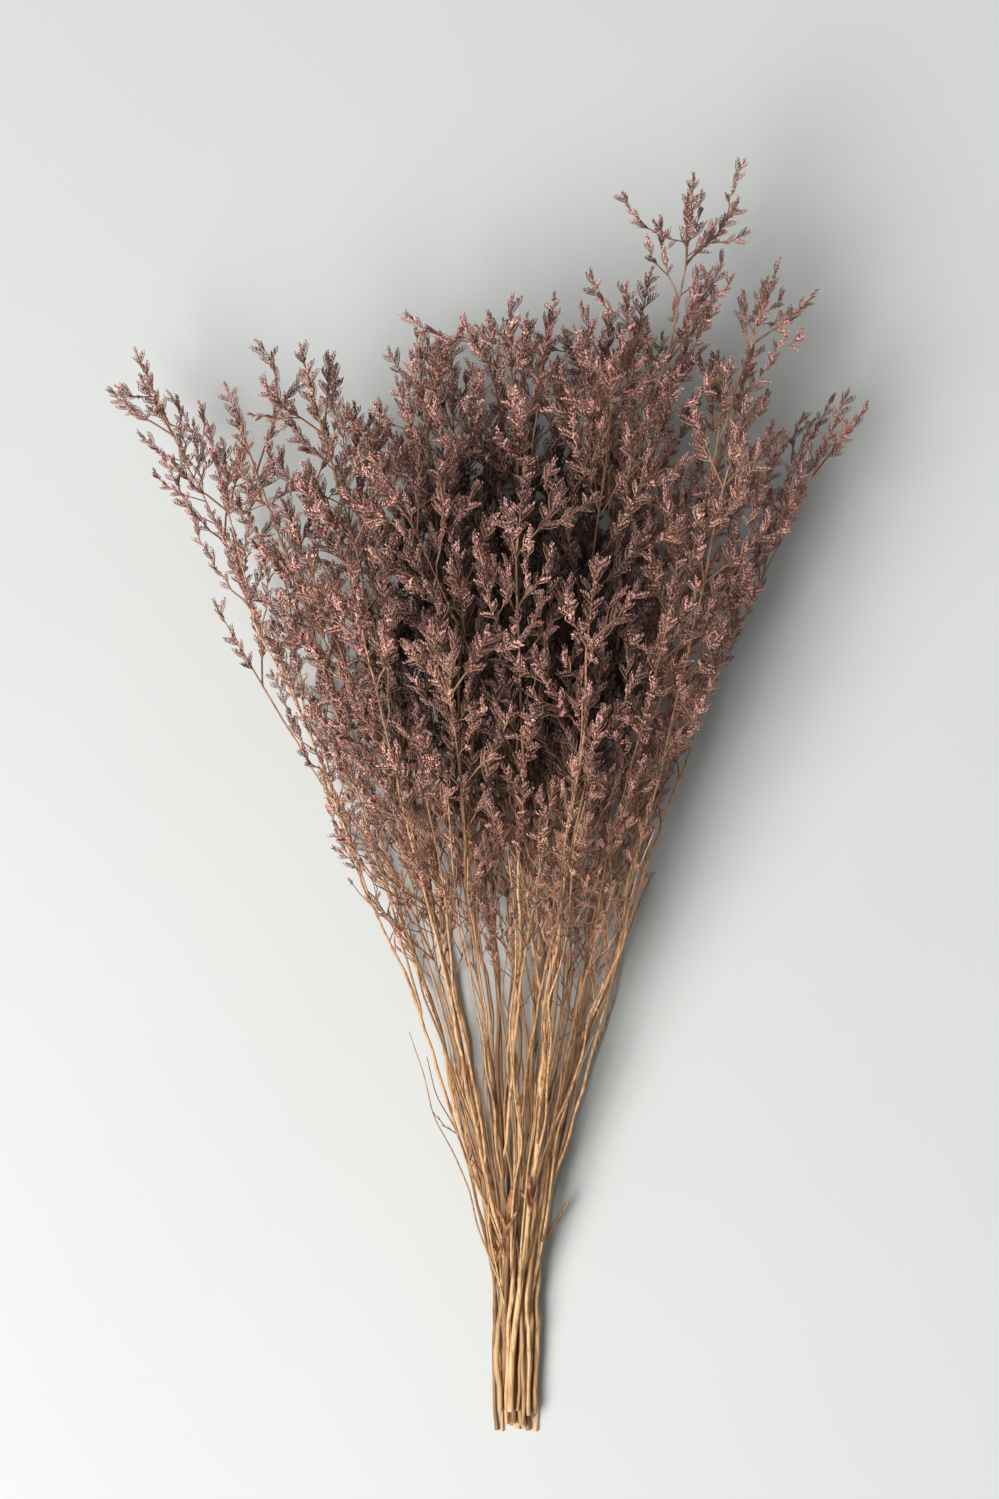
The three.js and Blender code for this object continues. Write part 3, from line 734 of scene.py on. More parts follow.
class Piece:
    """The triangles of one piece, what its materials read, and its own map of boxes."""

    def __init__(self):
        self.parts, self.count, self.box_count = [], 0, 0

    def add(self, points, faces, looks, slots, uvs, boxes, sizes):
        """looks has a row for each point. Each face has a slot, three uvs and its box's number."""
        faces, boxes = faces + self.count, boxes + self.box_count
        self.parts.append((points, faces, looks, slots, uvs, boxes, sizes))
        self.count += len(points)
        self.box_count += len(sizes)

    def make(self, name, materials, slot, *nodes):
        points, faces, looks, slots, uvs, boxes, sizes = map(np.concatenate, zip(*self.parts))
        points[:, 2] = np.maximum(points[:, 2], LOWEST)
        corners, side = packed(sizes)
        mesh = bpy.data.meshes.new(name)
        mesh.vertices.add(len(points))
        fill(mesh.vertices, "co", (points - MIDDLE) / 1000)
        mesh.loops.add(faces.size)
        fill(mesh.loops, "vertex_index", faces, np.int32)
        mesh.polygons.add(len(faces))
        fill(mesh.polygons, "loop_start", np.arange(0, faces.size, 3), np.int32)
        fill(mesh.polygons, "material_index", slots, np.int32)
        fill(mesh.attributes.new("look", "FLOAT_VECTOR", "POINT").data, "vector", looks)
        uvs = (uvs + corners[boxes][:, None]) / side
        fill(mesh.uv_layers.new(name="OFBake").uv, "vector", uvs)
        mesh.update(calc_edges=True)
        mesh.validate()
        mesh.shade_smooth()
        for material in materials:
            mesh.materials.append(material)
        piece = bpy.data.objects.new(name, mesh)
        bpy.context.scene.collection.objects.link(piece)
        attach(piece, "root")
        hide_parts(*nodes)


# Tubes


def softened(chain, radii, seed):
    """The chain with rounded corners and slightly crooked runs."""
    draw = np.random.default_rng(seed)
    points, sizes = [chain[0]], [radii[0]]
    last = len(chain) - 1
    for i in range(1, last + 1):
        a, b = chain[i - 1], chain[i]
        length = np.linalg.norm(b - a)
        along = (b - a) / length
        corner = min(SOFT_REACH, SOFT_SHARE * length)
        start = corner if i > 1 else 0
        stop = length - (corner if i < last else 0)
        runs = max(1, round((stop - start) / RUN_LENGTH))
        for n in range(runs + 1):
            t = lerp(start, stop, n / runs) / length
            if i == 1 and n == 0:
                continue
            point = lerp(a, b, t)
            if 0 < n < runs:
                point = point + WOBBLE * square_to(draw.normal(size=3), along) * radii[i]
            points.append(point)
            sizes.append(lerp(radii[i - 1], radii[i], t))
        if i < last:
            after = chain[i + 1] - b
            far = b + unit(after) * min(SOFT_REACH, SOFT_SHARE * np.linalg.norm(after))
            near = points[-1]
            for t in (0.33, 0.67):
                points.append(near * (1 - t) ** 2 + b * 2 * t * (1 - t) + far * t * t)
                sizes.append(radii[i])
    return np.array(points), np.array(sizes)


def rings_along(points, radii, sides):
    ahead = np.gradient(points, axis=0)
    ahead /= np.linalg.norm(ahead, axis=1)[:, None]
    side = square_to(np.array((0.1, 0.02, 1.0)), ahead[0])
    firsts = []
    for axis in ahead:
        side = side - axis * (side @ axis)
        side = side / math.sqrt(side @ side)
        firsts.append(side)
    firsts = np.array(firsts)
    seconds = np.cross(ahead, firsts)
    angles = np.arange(sides) * 2 * math.pi / sides
    spokes = firsts[:, None] * np.cos(angles)[:, None] + seconds[:, None] * np.sin(angles)[:, None]
    return points[:, None] + spokes * radii[:, None, None]


def grid_faces(rows, columns, closed=False):
    """Two triangles for each cell of a grid of points. The rows of a closed grid are rings."""
    cells = columns if closed else columns - 1
    i, j = np.meshgrid(np.arange(rows - 1), np.arange(cells), indexing="ij")
    a, b = i * columns + j, i * columns + (j + 1) % columns
    return np.stack([a, b, b + columns, a, b + columns, a + columns], 2).reshape(-1, 3)


def cell_map(left, right, low, high):
    """The uvs of a row of cells, for two triangles each as in grid_faces."""
    corners = [(left, low), (right, low), (right, high), (left, low), (right, high), (left, high)]
    return np.stack([np.stack(corner, 1) for corner in corners], 1).reshape(-1, 3, 2)


def add_tube(piece, points, radii, sides, look, cut_start=False, cut_end=False):
    """A closed tube. look is how thin and how light it is, for all of it or for each ring."""
    rings = rings_along(points, radii, sides)
    n = len(points)
    looks = np.zeros((n, 3))
    looks[:, :2] = look
    steps = np.linalg.norm(np.diff(points, axis=0), axis=1)
    ends = np.cumsum(steps)
    starts = ends - steps
    box = np.unique(starts // MAP_SECTION, return_inverse=True)[1]
    numbers = range(box[-1] + 1)
    box_starts = np.array([starts[box == k].min() for k in numbers])[box]
    width = 2 * math.pi * radii.mean() / sides
    j = np.tile(np.arange(sides), n - 1)
    low, high = starts - box_starts, ends - box_starts
    uvs = cell_map(j * width, (j + 1) * width, np.repeat(low, sides), np.repeat(high, sides))
    sizes = np.array([(sides * width, high[box == k].max()) for k in numbers])
    faces = grid_faces(n, sides, closed=True)
    slots, boxes = np.zeros(len(faces), int), np.repeat(box, 2 * sides)
    piece.add(rings.reshape(-1, 3), faces, np.repeat(looks, sides, 0), slots, uvs, boxes, sizes)
    add_cap(piece, rings[0], points[0], True, cut_start, looks[0])
    add_cap(piece, rings[-1], points[-1], False, cut_end, looks[-1])


def add_cap(piece, ring, middle, flip, is_cut, look):
    """Closes a tube's end. A cut one shows its pale core."""
    sides = len(ring)
    j = np.arange(sides)
    after, last = (j + 1) % sides, np.full(sides, sides)
    faces = np.stack([after, j, last] if flip else [j, after, last], 1)
    radius = np.linalg.norm(ring[0] - middle)
    angles = j * 2 * math.pi / sides
    flat = np.stack([np.cos(angles), np.sin(angles)], 1) * radius
    flat = np.vstack([flat, (0, 0)]) + radius
    looks = np.tile((look[0], look[1], float(is_cut)), (sides + 1, 1))
    none = np.zeros(sides, int)
    box = np.full((1, 2), 2 * radius)
    piece.add(np.vstack([ring, middle]), faces, looks, none, flat[faces], none, box)


# Combs of florets


class Comb:
    """A small comb or spike of florets on a short stalk. Forward is x and the florets lean to y."""

    def __init__(self, seed, florets, length, curl, is_spike):
        draw = np.random.default_rng(seed)
        self.parts, self.count, self.wide = [], 0, 0.0
        angles = np.array((0, 0.5, 1.0)) * curl
        heads = np.stack([np.cos(angles), np.sin(angles), np.zeros(3)], 1)
        spine = np.vstack([(0, 0, 0), np.cumsum(heads[:-1] * length / 2, 0)])
        self.add_stalk(spine, length)
        for i in range(florets):
            far = (i + 0.5) / florets
            t = lerp(BARE_STALK, 1, far) * 2
            k = min(int(t), 1)
            at = lerp(spine[k], spine[k + 1], t - k)
            ahead = unit(lerp(heads[k], heads[k + 1], t - k))
            if is_spike:
                turn = i * SPIKE_TURN
                out = np.array((0, math.cos(turn), math.sin(turn)))
                lean = draw.uniform(*SPIKE_LEANS)
            else:
                tilt = draw.uniform(*COMB_TILTS) * (1 if i % 2 else -1)
                out = np.array((-ahead[1], ahead[0], 0)) * math.cos(tilt) + UP * math.sin(tilt)
                lean = (0.9 if far < 0.85 else 0.6) + draw.uniform(-0.14, 0.14)
            size = lerp(1.05, 0.85, far) * draw.uniform(0.86, 1.1)
            self.add_floret(at, ahead * math.cos(lean) + out * math.sin(lean), size, draw)
        joined = map(np.concatenate, zip(*self.parts))
        self.points, self.faces, self.tones, self.slots, self.uvs = joined
        self.box = (self.wide, max(FLORET_LONG * 1.2, length) + 0.3)

    def add(self, points, faces, tones, slot, uvs, wide):
        slots = np.full(len(faces), slot)
        self.parts.append((points, faces + self.count, tones, slots, uvs + (self.wide, 0)))
        self.count += len(points)
        self.wide += wide

    def add_stalk(self, spine, length):
        rings = rings_along(spine, STALK_RADII, 3)
        j, i = np.tile(np.arange(3), 2), np.repeat(np.arange(2), 3)
        uvs = cell_map(j * 0.6, (j + 1) * 0.6, i * length / 2, (i + 1) * length / 2)
        faces = grid_faces(3, 3, closed=True)
        self.add(rings.reshape(-1, 3), faces, np.full(9, 0.3), 0, uvs, 2.0)

    def add_floret(self, at, ahead, size, draw):
        """A slim funnel with a blunt, ragged mouth."""
        ahead = unit(ahead)
        length, radius = FLORET_LONG * size, FLORET_WIDE * size * draw.uniform(0.85, 1.15)
        first = square_to(draw.normal(size=3), ahead)
        second = np.cross(ahead, first)
        spokes = [first * math.cos(a) + second * math.sin(a) for a in (0, 2.094, 4.189)]
        mouth = [at + ahead * length * draw.uniform(0.88, 1.06) + s * radius for s in spokes]
        faces = np.array([(0, 2, 1), (0, 3, 2), (0, 1, 3), (1, 2, 3)])
        sides = [((x + 0.4, 0.1), (x + 0.8, length), (x, length)) for x in (0, 0.8, 1.6)]
        uvs = np.array([*sides, ((2.5, 0.1), (3.5, 0.1), (3.0, 1.0))])
        tones = np.array((0.1, 1.0, 1.0, 1.0)) + draw.uniform(-0.12, 0.12)
        self.add(np.array([at, *mouth]), faces, tones, 1, uvs, 3.7)


def add_combs(piece, comb, places):
    """Copies of one comb at places, each of which is its foot, forward, up, size and shade."""
    if not places:
        return
    foot, ahead, up, size, shade = (np.array(column) for column in zip(*places))
    frames = np.stack([ahead, up, np.cross(ahead, up)], 1) * size[:, None, None]
    points = comb.points @ frames + foot[:, None]
    n = len(places)
    faces = comb.faces[None] + np.arange(n)[:, None, None] * comb.count
    looks = np.zeros((n, comb.count, 3))
    looks[:, :, 0] = comb.tones
    looks[:, :, 1] = shade[:, None]
    slots, uvs = np.tile(comb.slots, n), np.tile(comb.uvs, (n, 1, 1))
    boxes = np.repeat(np.arange(n), len(comb.faces))
    sizes = np.tile(comb.box, (n, 1))
    flat = [array.reshape(-1, 3) for array in (points, faces, looks)]
    piece.add(*flat, slots, uvs, boxes, sizes)


combs = [Comb(20 + i, 11 + i % 5, 7.0 + 1.0 * (i % 4), -0.1 + 0.1 * i, False) for i in range(8)]
spikes = [Comb(40 + i, 12 + i, 7.0 + 0.8 * i, 0.25 * (i - 1), True) for i in range(3)]


# Where the combs go


class Crowd:
    """Counts the combs in each cell of space, so that new sprigs go where there is room."""

    def __init__(self):
        self.cells = np.zeros(CROWD_CELLS)
        self.total = 0

    def index(self, points):
        found = ((np.asarray(points) - CROWD_LOW) / CROWD_CELL).astype(int)
        return tuple(np.clip(found, 0, np.array(CROWD_CELLS) - 1).T)

    def count(self, points):
        return self.cells[self.index(points)].mean()

    def add(self, points):
        points = [point for point in points if point is not None]
        np.add.at(self.cells, self.index(points), 1)
        self.total += len(points)


class Head:
    """What grows on one head: tubes, and combs by kind."""

    def __init__(self):
        self.tubes, self.combs = [], [[] for _ in combs + spikes]


def outwardness(point):
    """How far out in the mass of florets a place lies: 0 in its middle, about 1 at its rim."""
    return np.linalg.norm((point - MASS_MIDDLE - (0, -5, 0)) / (MASS_HALF * (1.1, 0.95, 1.2)))


def fineness(point):
    """Combs are full in the middle of the mass, and smaller at its rim and near the stems."""
    rim = lerp(1.04, 0.84, clamp((outwardness(point) - 0.7) / 0.6, 0, 1))
    return rim * lerp(0.72, 1.0, clamp((point[1] + 110) / 140, 0, 1))


def set_comb(head, at, axis, out, lean, size):
    """A comb that leaves axis towards out. Its middle is returned, or None where it can't lie."""
    ahead = axis * math.cos(lean) + out * math.sin(lean)
    up = axis * math.sin(lean) - out * math.cos(lean)
    kind = int(rng.integers(len(combs)))
    if (at + ahead * COMB_REACH)[2] < -3:
        return None
    head.combs[kind].append((at, ahead, up, size * fineness(at), rng.uniform()))
    return at + ahead * COMB_MIDDLE


def set_spike(head, at, axis, size):
    kind = len(combs) + int(rng.integers(len(spikes)))
    up = square_to(rng.normal(size=3), axis)
    head.combs[kind].append((at, axis, up, size * fineness(at), rng.uniform()))
    return at + axis * COMB_MIDDLE


def hang(x):
    """How far below the mass the florets hang at a place across the bunch, in uneven patches."""
    return 22 + 20 * math.cos((x - 4) * 0.16) + 10 * math.sin(x * 0.31)


def aside(x):
    """0 in the middle of the bunch's width, 1 at its sides."""
    return clamp((abs(x - 15) - 32) / 36, 0, 1)


def thinning(point):
    """The share of combs that are missing at a place: few, but more near the stems."""
    side = aside(point[0])
    low = clamp((50 + 40 * side - point[1] - 1.2 * hang(point[0])) / 110, 0, 1)
    return 0.05 + (0.67 + 0.13 * side) * low


def density(point):
    """How close the combs stand at a place: thick in the middle of the mass, thin low down."""
    out = outwardness(point)
    core = clamp(1.65 - out, 0.28, 1.0)
    if out < 0.85:
        core += 0.9 * clamp((110 - point[2]) / 70, 0, 1)
    return core * clamp((point[1] + 105 - 45 * aside(point[0])) / 160, 0.08, 1.0)


def flower_path(head, path, crowd):
    """Combs all along a twig or tip of the solids, four to a step, and a spike at its end."""
    centres = []
    points = path.points
    for i in range(path.first, len(points) - 1):
        axis = run_axis(points, i)
        out = square_to(path.sides[i] + path.sides[i + 1], axis)
        for face in range(4):
            if rng.uniform() < thinning(points[i]):
                continue
            at = lerp(points[i], points[i + 1], 0.1 + 0.25 * face + rng.uniform(-0.08, 0.08))
            side = turned(out, axis, face * 2.2 + i + rng.normal(0, 0.2))
            lean, size = rng.uniform(0.55, 1.0), rng.uniform(0.8, 1.15)
            centres.append(set_comb(head, at, axis, side, lean, size))
    axis = unit(path.end - points[-1])
    centres.append(set_spike(head, lerp(points[-1], path.end, 0.1), axis, 0.85))
    crowd.add(centres)


def any_side(axis):
    """A random direction square to an axis."""
    return turned(square_to(np.array((0.2, 0.1, 1.0)), axis), axis, rng.uniform(0, ANY_ANGLE))


def lay_sprig(at, axis, out, steps, step, lean):
    """A small side twig: its points from a bare start, leaning more and more along the axis."""
    points = [at]
    turn = rng.normal(0, 0.12, steps + 1)
    side = np.cross(axis, out)
    for i in range(steps + 1):
        length = step * (1.15 if i == 0 else rng.uniform(0.8, 1.1))
        zigzag = 0.14 if i % 2 else -0.14
        now = lerp(lean, 0.35 * lean, i / max(1, steps)) + zigzag
        ahead = unit(axis * math.cos(now) + out * math.sin(now) + side * turn[i])
        points.append(points[-1] + ahead * length)
    return np.array(points)


def flower_sprig(head, points, crowd, bare=1, thick=0.42, thin=1.0):
    """The sprig's tube, two combs to a step past its bare start, and a spike at its end."""
    centres = []
    head.tubes.append((points, np.linspace(thick, 0.28, len(points)), 3, (thin, rng.uniform())))
    turn = rng.uniform(0, 2 * math.pi)
    for i in range(bare, len(points) - 1):
        axis = run_axis(points, i)
        for n in range(2):
            turn += 2.6
            if rng.uniform() < thinning(points[i]) - 0.05:
                continue
            out = turned(square_to(np.array((0.3, 0.1, 1.0)), axis), axis, turn)
            at = lerp(points[i], points[i + 1], 0.1 + 0.45 * n)
            lean, size = rng.uniform(0.5, 0.95), rng.uniform(0.7, 1.05)
            centres.append(set_comb(head, at, axis, out, lean, size))
    axis = run_axis(points, -2)
    centres.append(set_spike(head, points[-1] - axis * 1.5, axis, rng.uniform(0.75, 0.95)))
    crowd.add(centres)


def is_free(points):
    """Whether a new twig stays above the surface and inside the bunch's form."""
    x, y, z = points[-1]
    return points[1:, 2].min() > 0.5 and z < HIGHEST_TWIG and is_inside_fan(x, y)


def branch_shape():
    """The steps, the length of a step and the lean of a longer side branch."""
    steps, lean = int(rng.integers(5, 9)), rng.uniform(0.5, 0.75)
    return steps, rng.uniform(7.0, 8.5), lean


def sprig_shape():
    return int(rng.integers(2, 5)), rng.uniform(5.5, 7.5), SPRIG_LEAN


def freest(at, axis, tries, shape, first, crowd):
    """Of a few random twigs the one with the most room: how crowded it is there, and its points."""
    found = []
    for _ in range(tries):
        points = lay_sprig(at, axis, any_side(axis), *shape())
        if is_free(points):
            found.append((crowd.count(points[first:]) / density(points[-2]), points))
    return min(found, key=lambda one: one[0], default=None)


def sites_on(head, points, first):
    """Places along a twig for sprigs: head, point and axis."""
    inner = range(first, len(points) - 1)
    return [(head, points[i], run_axis(points, i)) for i in inner]


def sprig_sites(owners):
    sites = []
    for head, shoot in owners:
        y = flowers_from(shoot) + 6
        while y < shoot.tip_y - 34:
            sites.append((head, np.array(shoot.at(y)), shoot.along(y)))
            y += rng.uniform(5, 9)
        for joint in shoot.joints.values():
            for twig in joint.twigs:
                sites += sites_on(head, twig.points, 1)
    return sites


def grow_branches(owners, crowd, sites):
    """Longer, paler side branches on the axes, bare at first, which carry sprigs in turn."""
    for head, shoot in owners:
        y = flowers_from(shoot) - rng.uniform(0, 12)
        while y < shoot.tip_y - 66:
            at = np.array(shoot.at(y))
            best = freest(at, shoot.along(y), BRANCH_TRIES, branch_shape, 2, crowd)
            y += rng.uniform(20, 30)
            if best:
                flower_sprig(head, best[1], crowd, 2, 0.62, 0.35)
                sites += sites_on(head, best[1], 2)


def fill_with_sprigs(sites, crowd):
    """Sprigs at the sites, the ones with the most room first, until there are combs enough."""
    order = rng.permutation(len(sites))
    for limit in SPRIG_LIMITS:
        for i in order:
            if crowd.total > MOST_COMBS or sites[i] is None:
                continue
            head, at, axis = sites[i]
            best = freest(at, axis, SPRIG_TRIES, sprig_shape, 1, crowd)
            if best and best[0] <= limit:
                flower_sprig(head, best[1], crowd)
                sites[i] = None


# Small things between the stems


def whip_points(stem, stems, start, rise):
    """A thin side stem that follows its stem upwards and drifts away to where there is room."""
    end_y = start + rise
    across = [one.at(end_y)[0] for one in stems if one.start_y < end_y < one.tip_y]
    others = np.array([one.at(end_y) for one in stems if one is not stem])
    found = []
    for _ in range(WHIP_TRIES):
        angle, reach = rng.uniform(0, ANY_ANGLE), rng.uniform(*WHIP_DRIFTS)
        out = np.array((math.cos(angle), 0, math.sin(angle)))
        end = np.array(stem.at(end_y)) + out * reach
        room = np.linalg.norm(others - end, axis=1).min()
        if end[2] > 1 and min(across) - 6 < end[0] < max(across) + 6:
            found.append((room, out, reach))
    if not found:
        return None
    _, out, reach = max(found, key=lambda one: one[0])
    steps = max(5, round(rise / 22))
    points = []
    for i in range(steps + 1):
        t = i / steps
        wander = rng.normal(0, 1.2, 3) if i else np.zeros(3)
        point = np.array(stem.at(start + rise * t)) + out * reach * t ** 0.75 + wander
        point[2] = max(point[2], 0.8)
        points.append(point)
    return points


def grow_whips(stems, heads, tubes, crowd):
    """The thin stems between the thick ones. The upper part of a whip belongs to the head."""
    for n, stem in enumerate(stems):
        head = heads[id(stem)]
        for _ in range(WHIPS_A_STEM):
            start = rng.uniform(*WHIP_STARTS)
            rise = min(rng.uniform(*WHIP_RISES), stem.tip_y - 40 - start)
            points = whip_points(stem, stems, start, rise)
            if points is None:
                continue
            thick, shade = rng.uniform(0.6, 0.85), rng.uniform()
            split = stem.split - max(0, 1.2 * hang(points[len(points) // 2][0]))
            split = max(split, points[0][1] + 25)
            k = sum(1 for point in points if point[1] < split)
            low, high = points[:k], []
            if k < len(points):
                a, b = points[k - 1], points[k]
                middle = lerp(a, b, (split - a[1]) / (b[1] - a[1]))
                low, high = [*low, middle], [middle, *points[k:]]
            goes_on = len(high) > 2
            slims = np.linspace(thick, 0.42 if goes_on else 0.2, len(points) + 1)
            tube = softened(low, slims[: len(low)], rng.integers(1e6))
            tubes[n].append((*tube, 5, (0.15, shade)))
            if goes_on:
                tube = softened(high, slims[-len(high) :], rng.integers(1e6))
                head.tubes.append((*tube, 5, (0.4, shade)))
                dress_whip(head, high, crowd)


def dress_whip(head, points, crowd):
    """Sparse sprigs on the upper part of a thin stem."""
    for i in range(1, len(points) - 1):
        axis = run_axis(points, i)
        for t in (0.2, 0.7):
            at = lerp(points[i], points[i + 1], t)
            bare = 0.06 + 0.5 * clamp((30 - at[1] - 1.6 * hang(at[0])) / 110, 0, 1)
            if at[1] < LOWEST_FLORETS - hang(at[0]) or rng.uniform() < bare:
                continue
            out = any_side(axis)
            sprig = lay_sprig(at, axis, out, int(rng.integers(1, 4)), rng.uniform(5.0, 7.0), 0.7)
            if is_free(sprig):
                flower_sprig(head, sprig, crowd, 1, 0.34)


def grow_dead_twigs(stems, tubes):
    """Tiny dark twigs that have lost their flowers."""
    dark = (1.0, -0.6)
    for _ in range(DEAD_TWIGS):
        n = int(rng.integers(len(stems)))
        y = rng.uniform(*DEAD_TWIG_HEIGHTS)
        axis = stems[n].along(y)
        out = turned(square_to(np.array((1.0, 0.1, 0.3)), axis), axis, rng.normal(0, 0.9))
        at = np.array(stems[n].at(y))
        points = lay_sprig(at, axis, out, int(rng.integers(2, 5)), 4.5, 0.8)
        points[:, 2] = np.maximum(points[:, 2], 0.5)
        tubes[n].append((points, np.linspace(0.34, 0.16, len(points)), 4, dark))
        for point in points[1:-1]:
            side = turned(out, axis, rng.uniform(-2, 2))
            tip = point + (axis * 0.7 + side * 0.7) * rng.uniform(2.5, 5.5)
            short = np.array([point, lerp(point, tip, 0.5) + rng.normal(0, 0.2, 3), tip])
            short[:, 2] = np.maximum(short[:, 2], 0.4)
            tubes[n].append((short, np.array((0.24, 0.2, 0.14)), 4, dark))


# Dry leaf scraps


def stems_top(shoots, x, y, reach):
    """The highest point of the stems near a place."""
    tops = [0]
    for shoot in shoots:
        if shoot.start_y < y < shoot.tip_y:
            at, radius = shoot.at(y), shoot.radius(y)
            if abs(at[0] - x) < reach + radius:
                tops.append(at[2] + radius)
    return max(tops)


def add_blade(piece, foot, ahead, across, length, half, roll, seed):
    """A thin, rolled and crumpled strip of dead leaf."""
    draw = np.random.default_rng(seed)
    rows, columns = LEAF_GRID
    up = np.cross(across, ahead)
    waves = draw.uniform(0, ANY_ANGLE, 4)
    grid = np.empty((rows, columns, 3))
    for i in range(rows):
        t = i / (rows - 1)
        wide = half * (0.3 + 0.7 * math.sin(math.pi * min(0.97, 0.12 + 0.85 * t)))
        wide *= draw.uniform(0.8, 1.12)
        lift = 0.9 * math.sin(5 * t + waves[0]) * t + LEAF_CURL * t**3
        sway = 0.8 * math.sin(4 * t + waves[1]) * t
        for j in range(columns):
            side = 2 * j / (columns - 1) - 1
            angle = side * roll * (1 + 0.3 * math.sin(6 * t + waves[2]))
            crumple = 0.25 * math.sin(9 * t + 5 * side + waves[3])
            x = wide * math.sin(angle) / roll + sway
            z = -wide * (1 - math.cos(angle)) / roll + lift + crumple
            tear = draw.uniform(-0.5, 0.5) if abs(side) == 1 else 0
            grid[i, j] = foot + ahead * (t * length + tear) + across * x + up * z
    count = rows * columns
    middle = grid.reshape(-1, 3)
    points = np.vstack([middle + up * LEAF_HALF_THICK, middle - up * LEAF_HALF_THICK])
    quads = grid_faces(rows, columns)
    under = quads[:, ::-1]
    ids = np.arange(count).reshape(rows, columns)
    rim = np.concatenate([ids[:, 0], ids[-1, 1:], ids[-2::-1, -1], ids[0, -2:0:-1]])
    after = np.roll(rim, -1)
    walls = np.stack([rim, after, after + count, rim, after + count, rim + count], 1).reshape(-1, 3)
    faces = np.concatenate([quads, under + count, walls])
    flat = np.stack([ids % columns, ids // columns], 2).reshape(-1, 2)
    flat = flat * (2 * half / (columns - 1), length / (rows - 1))
    along = np.arange(len(rim)) * RIM_STEP
    strip = cell_map(along, along + RIM_STEP, along * 0, along * 0 + RIM_HIGH)
    uvs = np.concatenate([flat[quads], flat[under], strip])
    boxes = np.repeat((0, 1, 2), (len(quads), len(quads), len(walls)))
    sizes = np.array([(2 * half, length), (2 * half, length), (len(rim) * RIM_STEP, RIM_HIGH)])
    looks = np.tile((0, draw.uniform(), 0), (2 * count, 1))
    piece.add(points, faces, looks, np.zeros(len(faces), int), uvs, boxes, sizes)


def make_leaf(i, shoots, row):
    """A leaf scrap: one blade on top of the stems and two torn strips that rise from it."""
    x, y, length, half, turn = row
    ahead = np.array((math.sin(turn), math.cos(turn), 0.0))
    across = np.array((math.cos(turn), -math.sin(turn), 0.0))
    heights = []
    for t in (0, 0.25, 0.5, 0.75, 1.0):
        place = np.array((x, y, 0)) + ahead * (t - 0.5) * length
        heights.append(stems_top(shoots, place[0], place[1], half + 2))
    foot = np.array((x, y, max(heights) + 0.7)) - ahead * length / 2
    piece = Piece()
    add_blade(piece, foot, ahead, across, length, half, 1.1, 70 + i)
    start = foot + ahead * length * 0.15 + UP * 0.8
    for n, (spin, share, roll) in enumerate(((0.5, 0.6, 1.8), (-0.45, 0.5, 2.2))):
        strip_ahead = unit(turned(ahead, UP, spin) + UP * 0.25)
        strip_across = turned(across, UP, spin)
        seed = 80 + 2 * i + n
        add_blade(piece, start, strip_ahead, strip_across, length * share, half * 0.7, roll, seed)
    name = f"dry_leaf_{i + 1:02d}"
    piece.make("fine_" + name, [LEAF], "dry_leaf", name)


# Materials


def rgb(*screen):
    """A colour that is told as it looks on a screen."""
    shares = [c / 255 for c in screen]
    return (*(c / 12.92 if c <= 0.04045 else ((c + 0.055) / 1.055) ** 2.4 for c in shares), 1.0)


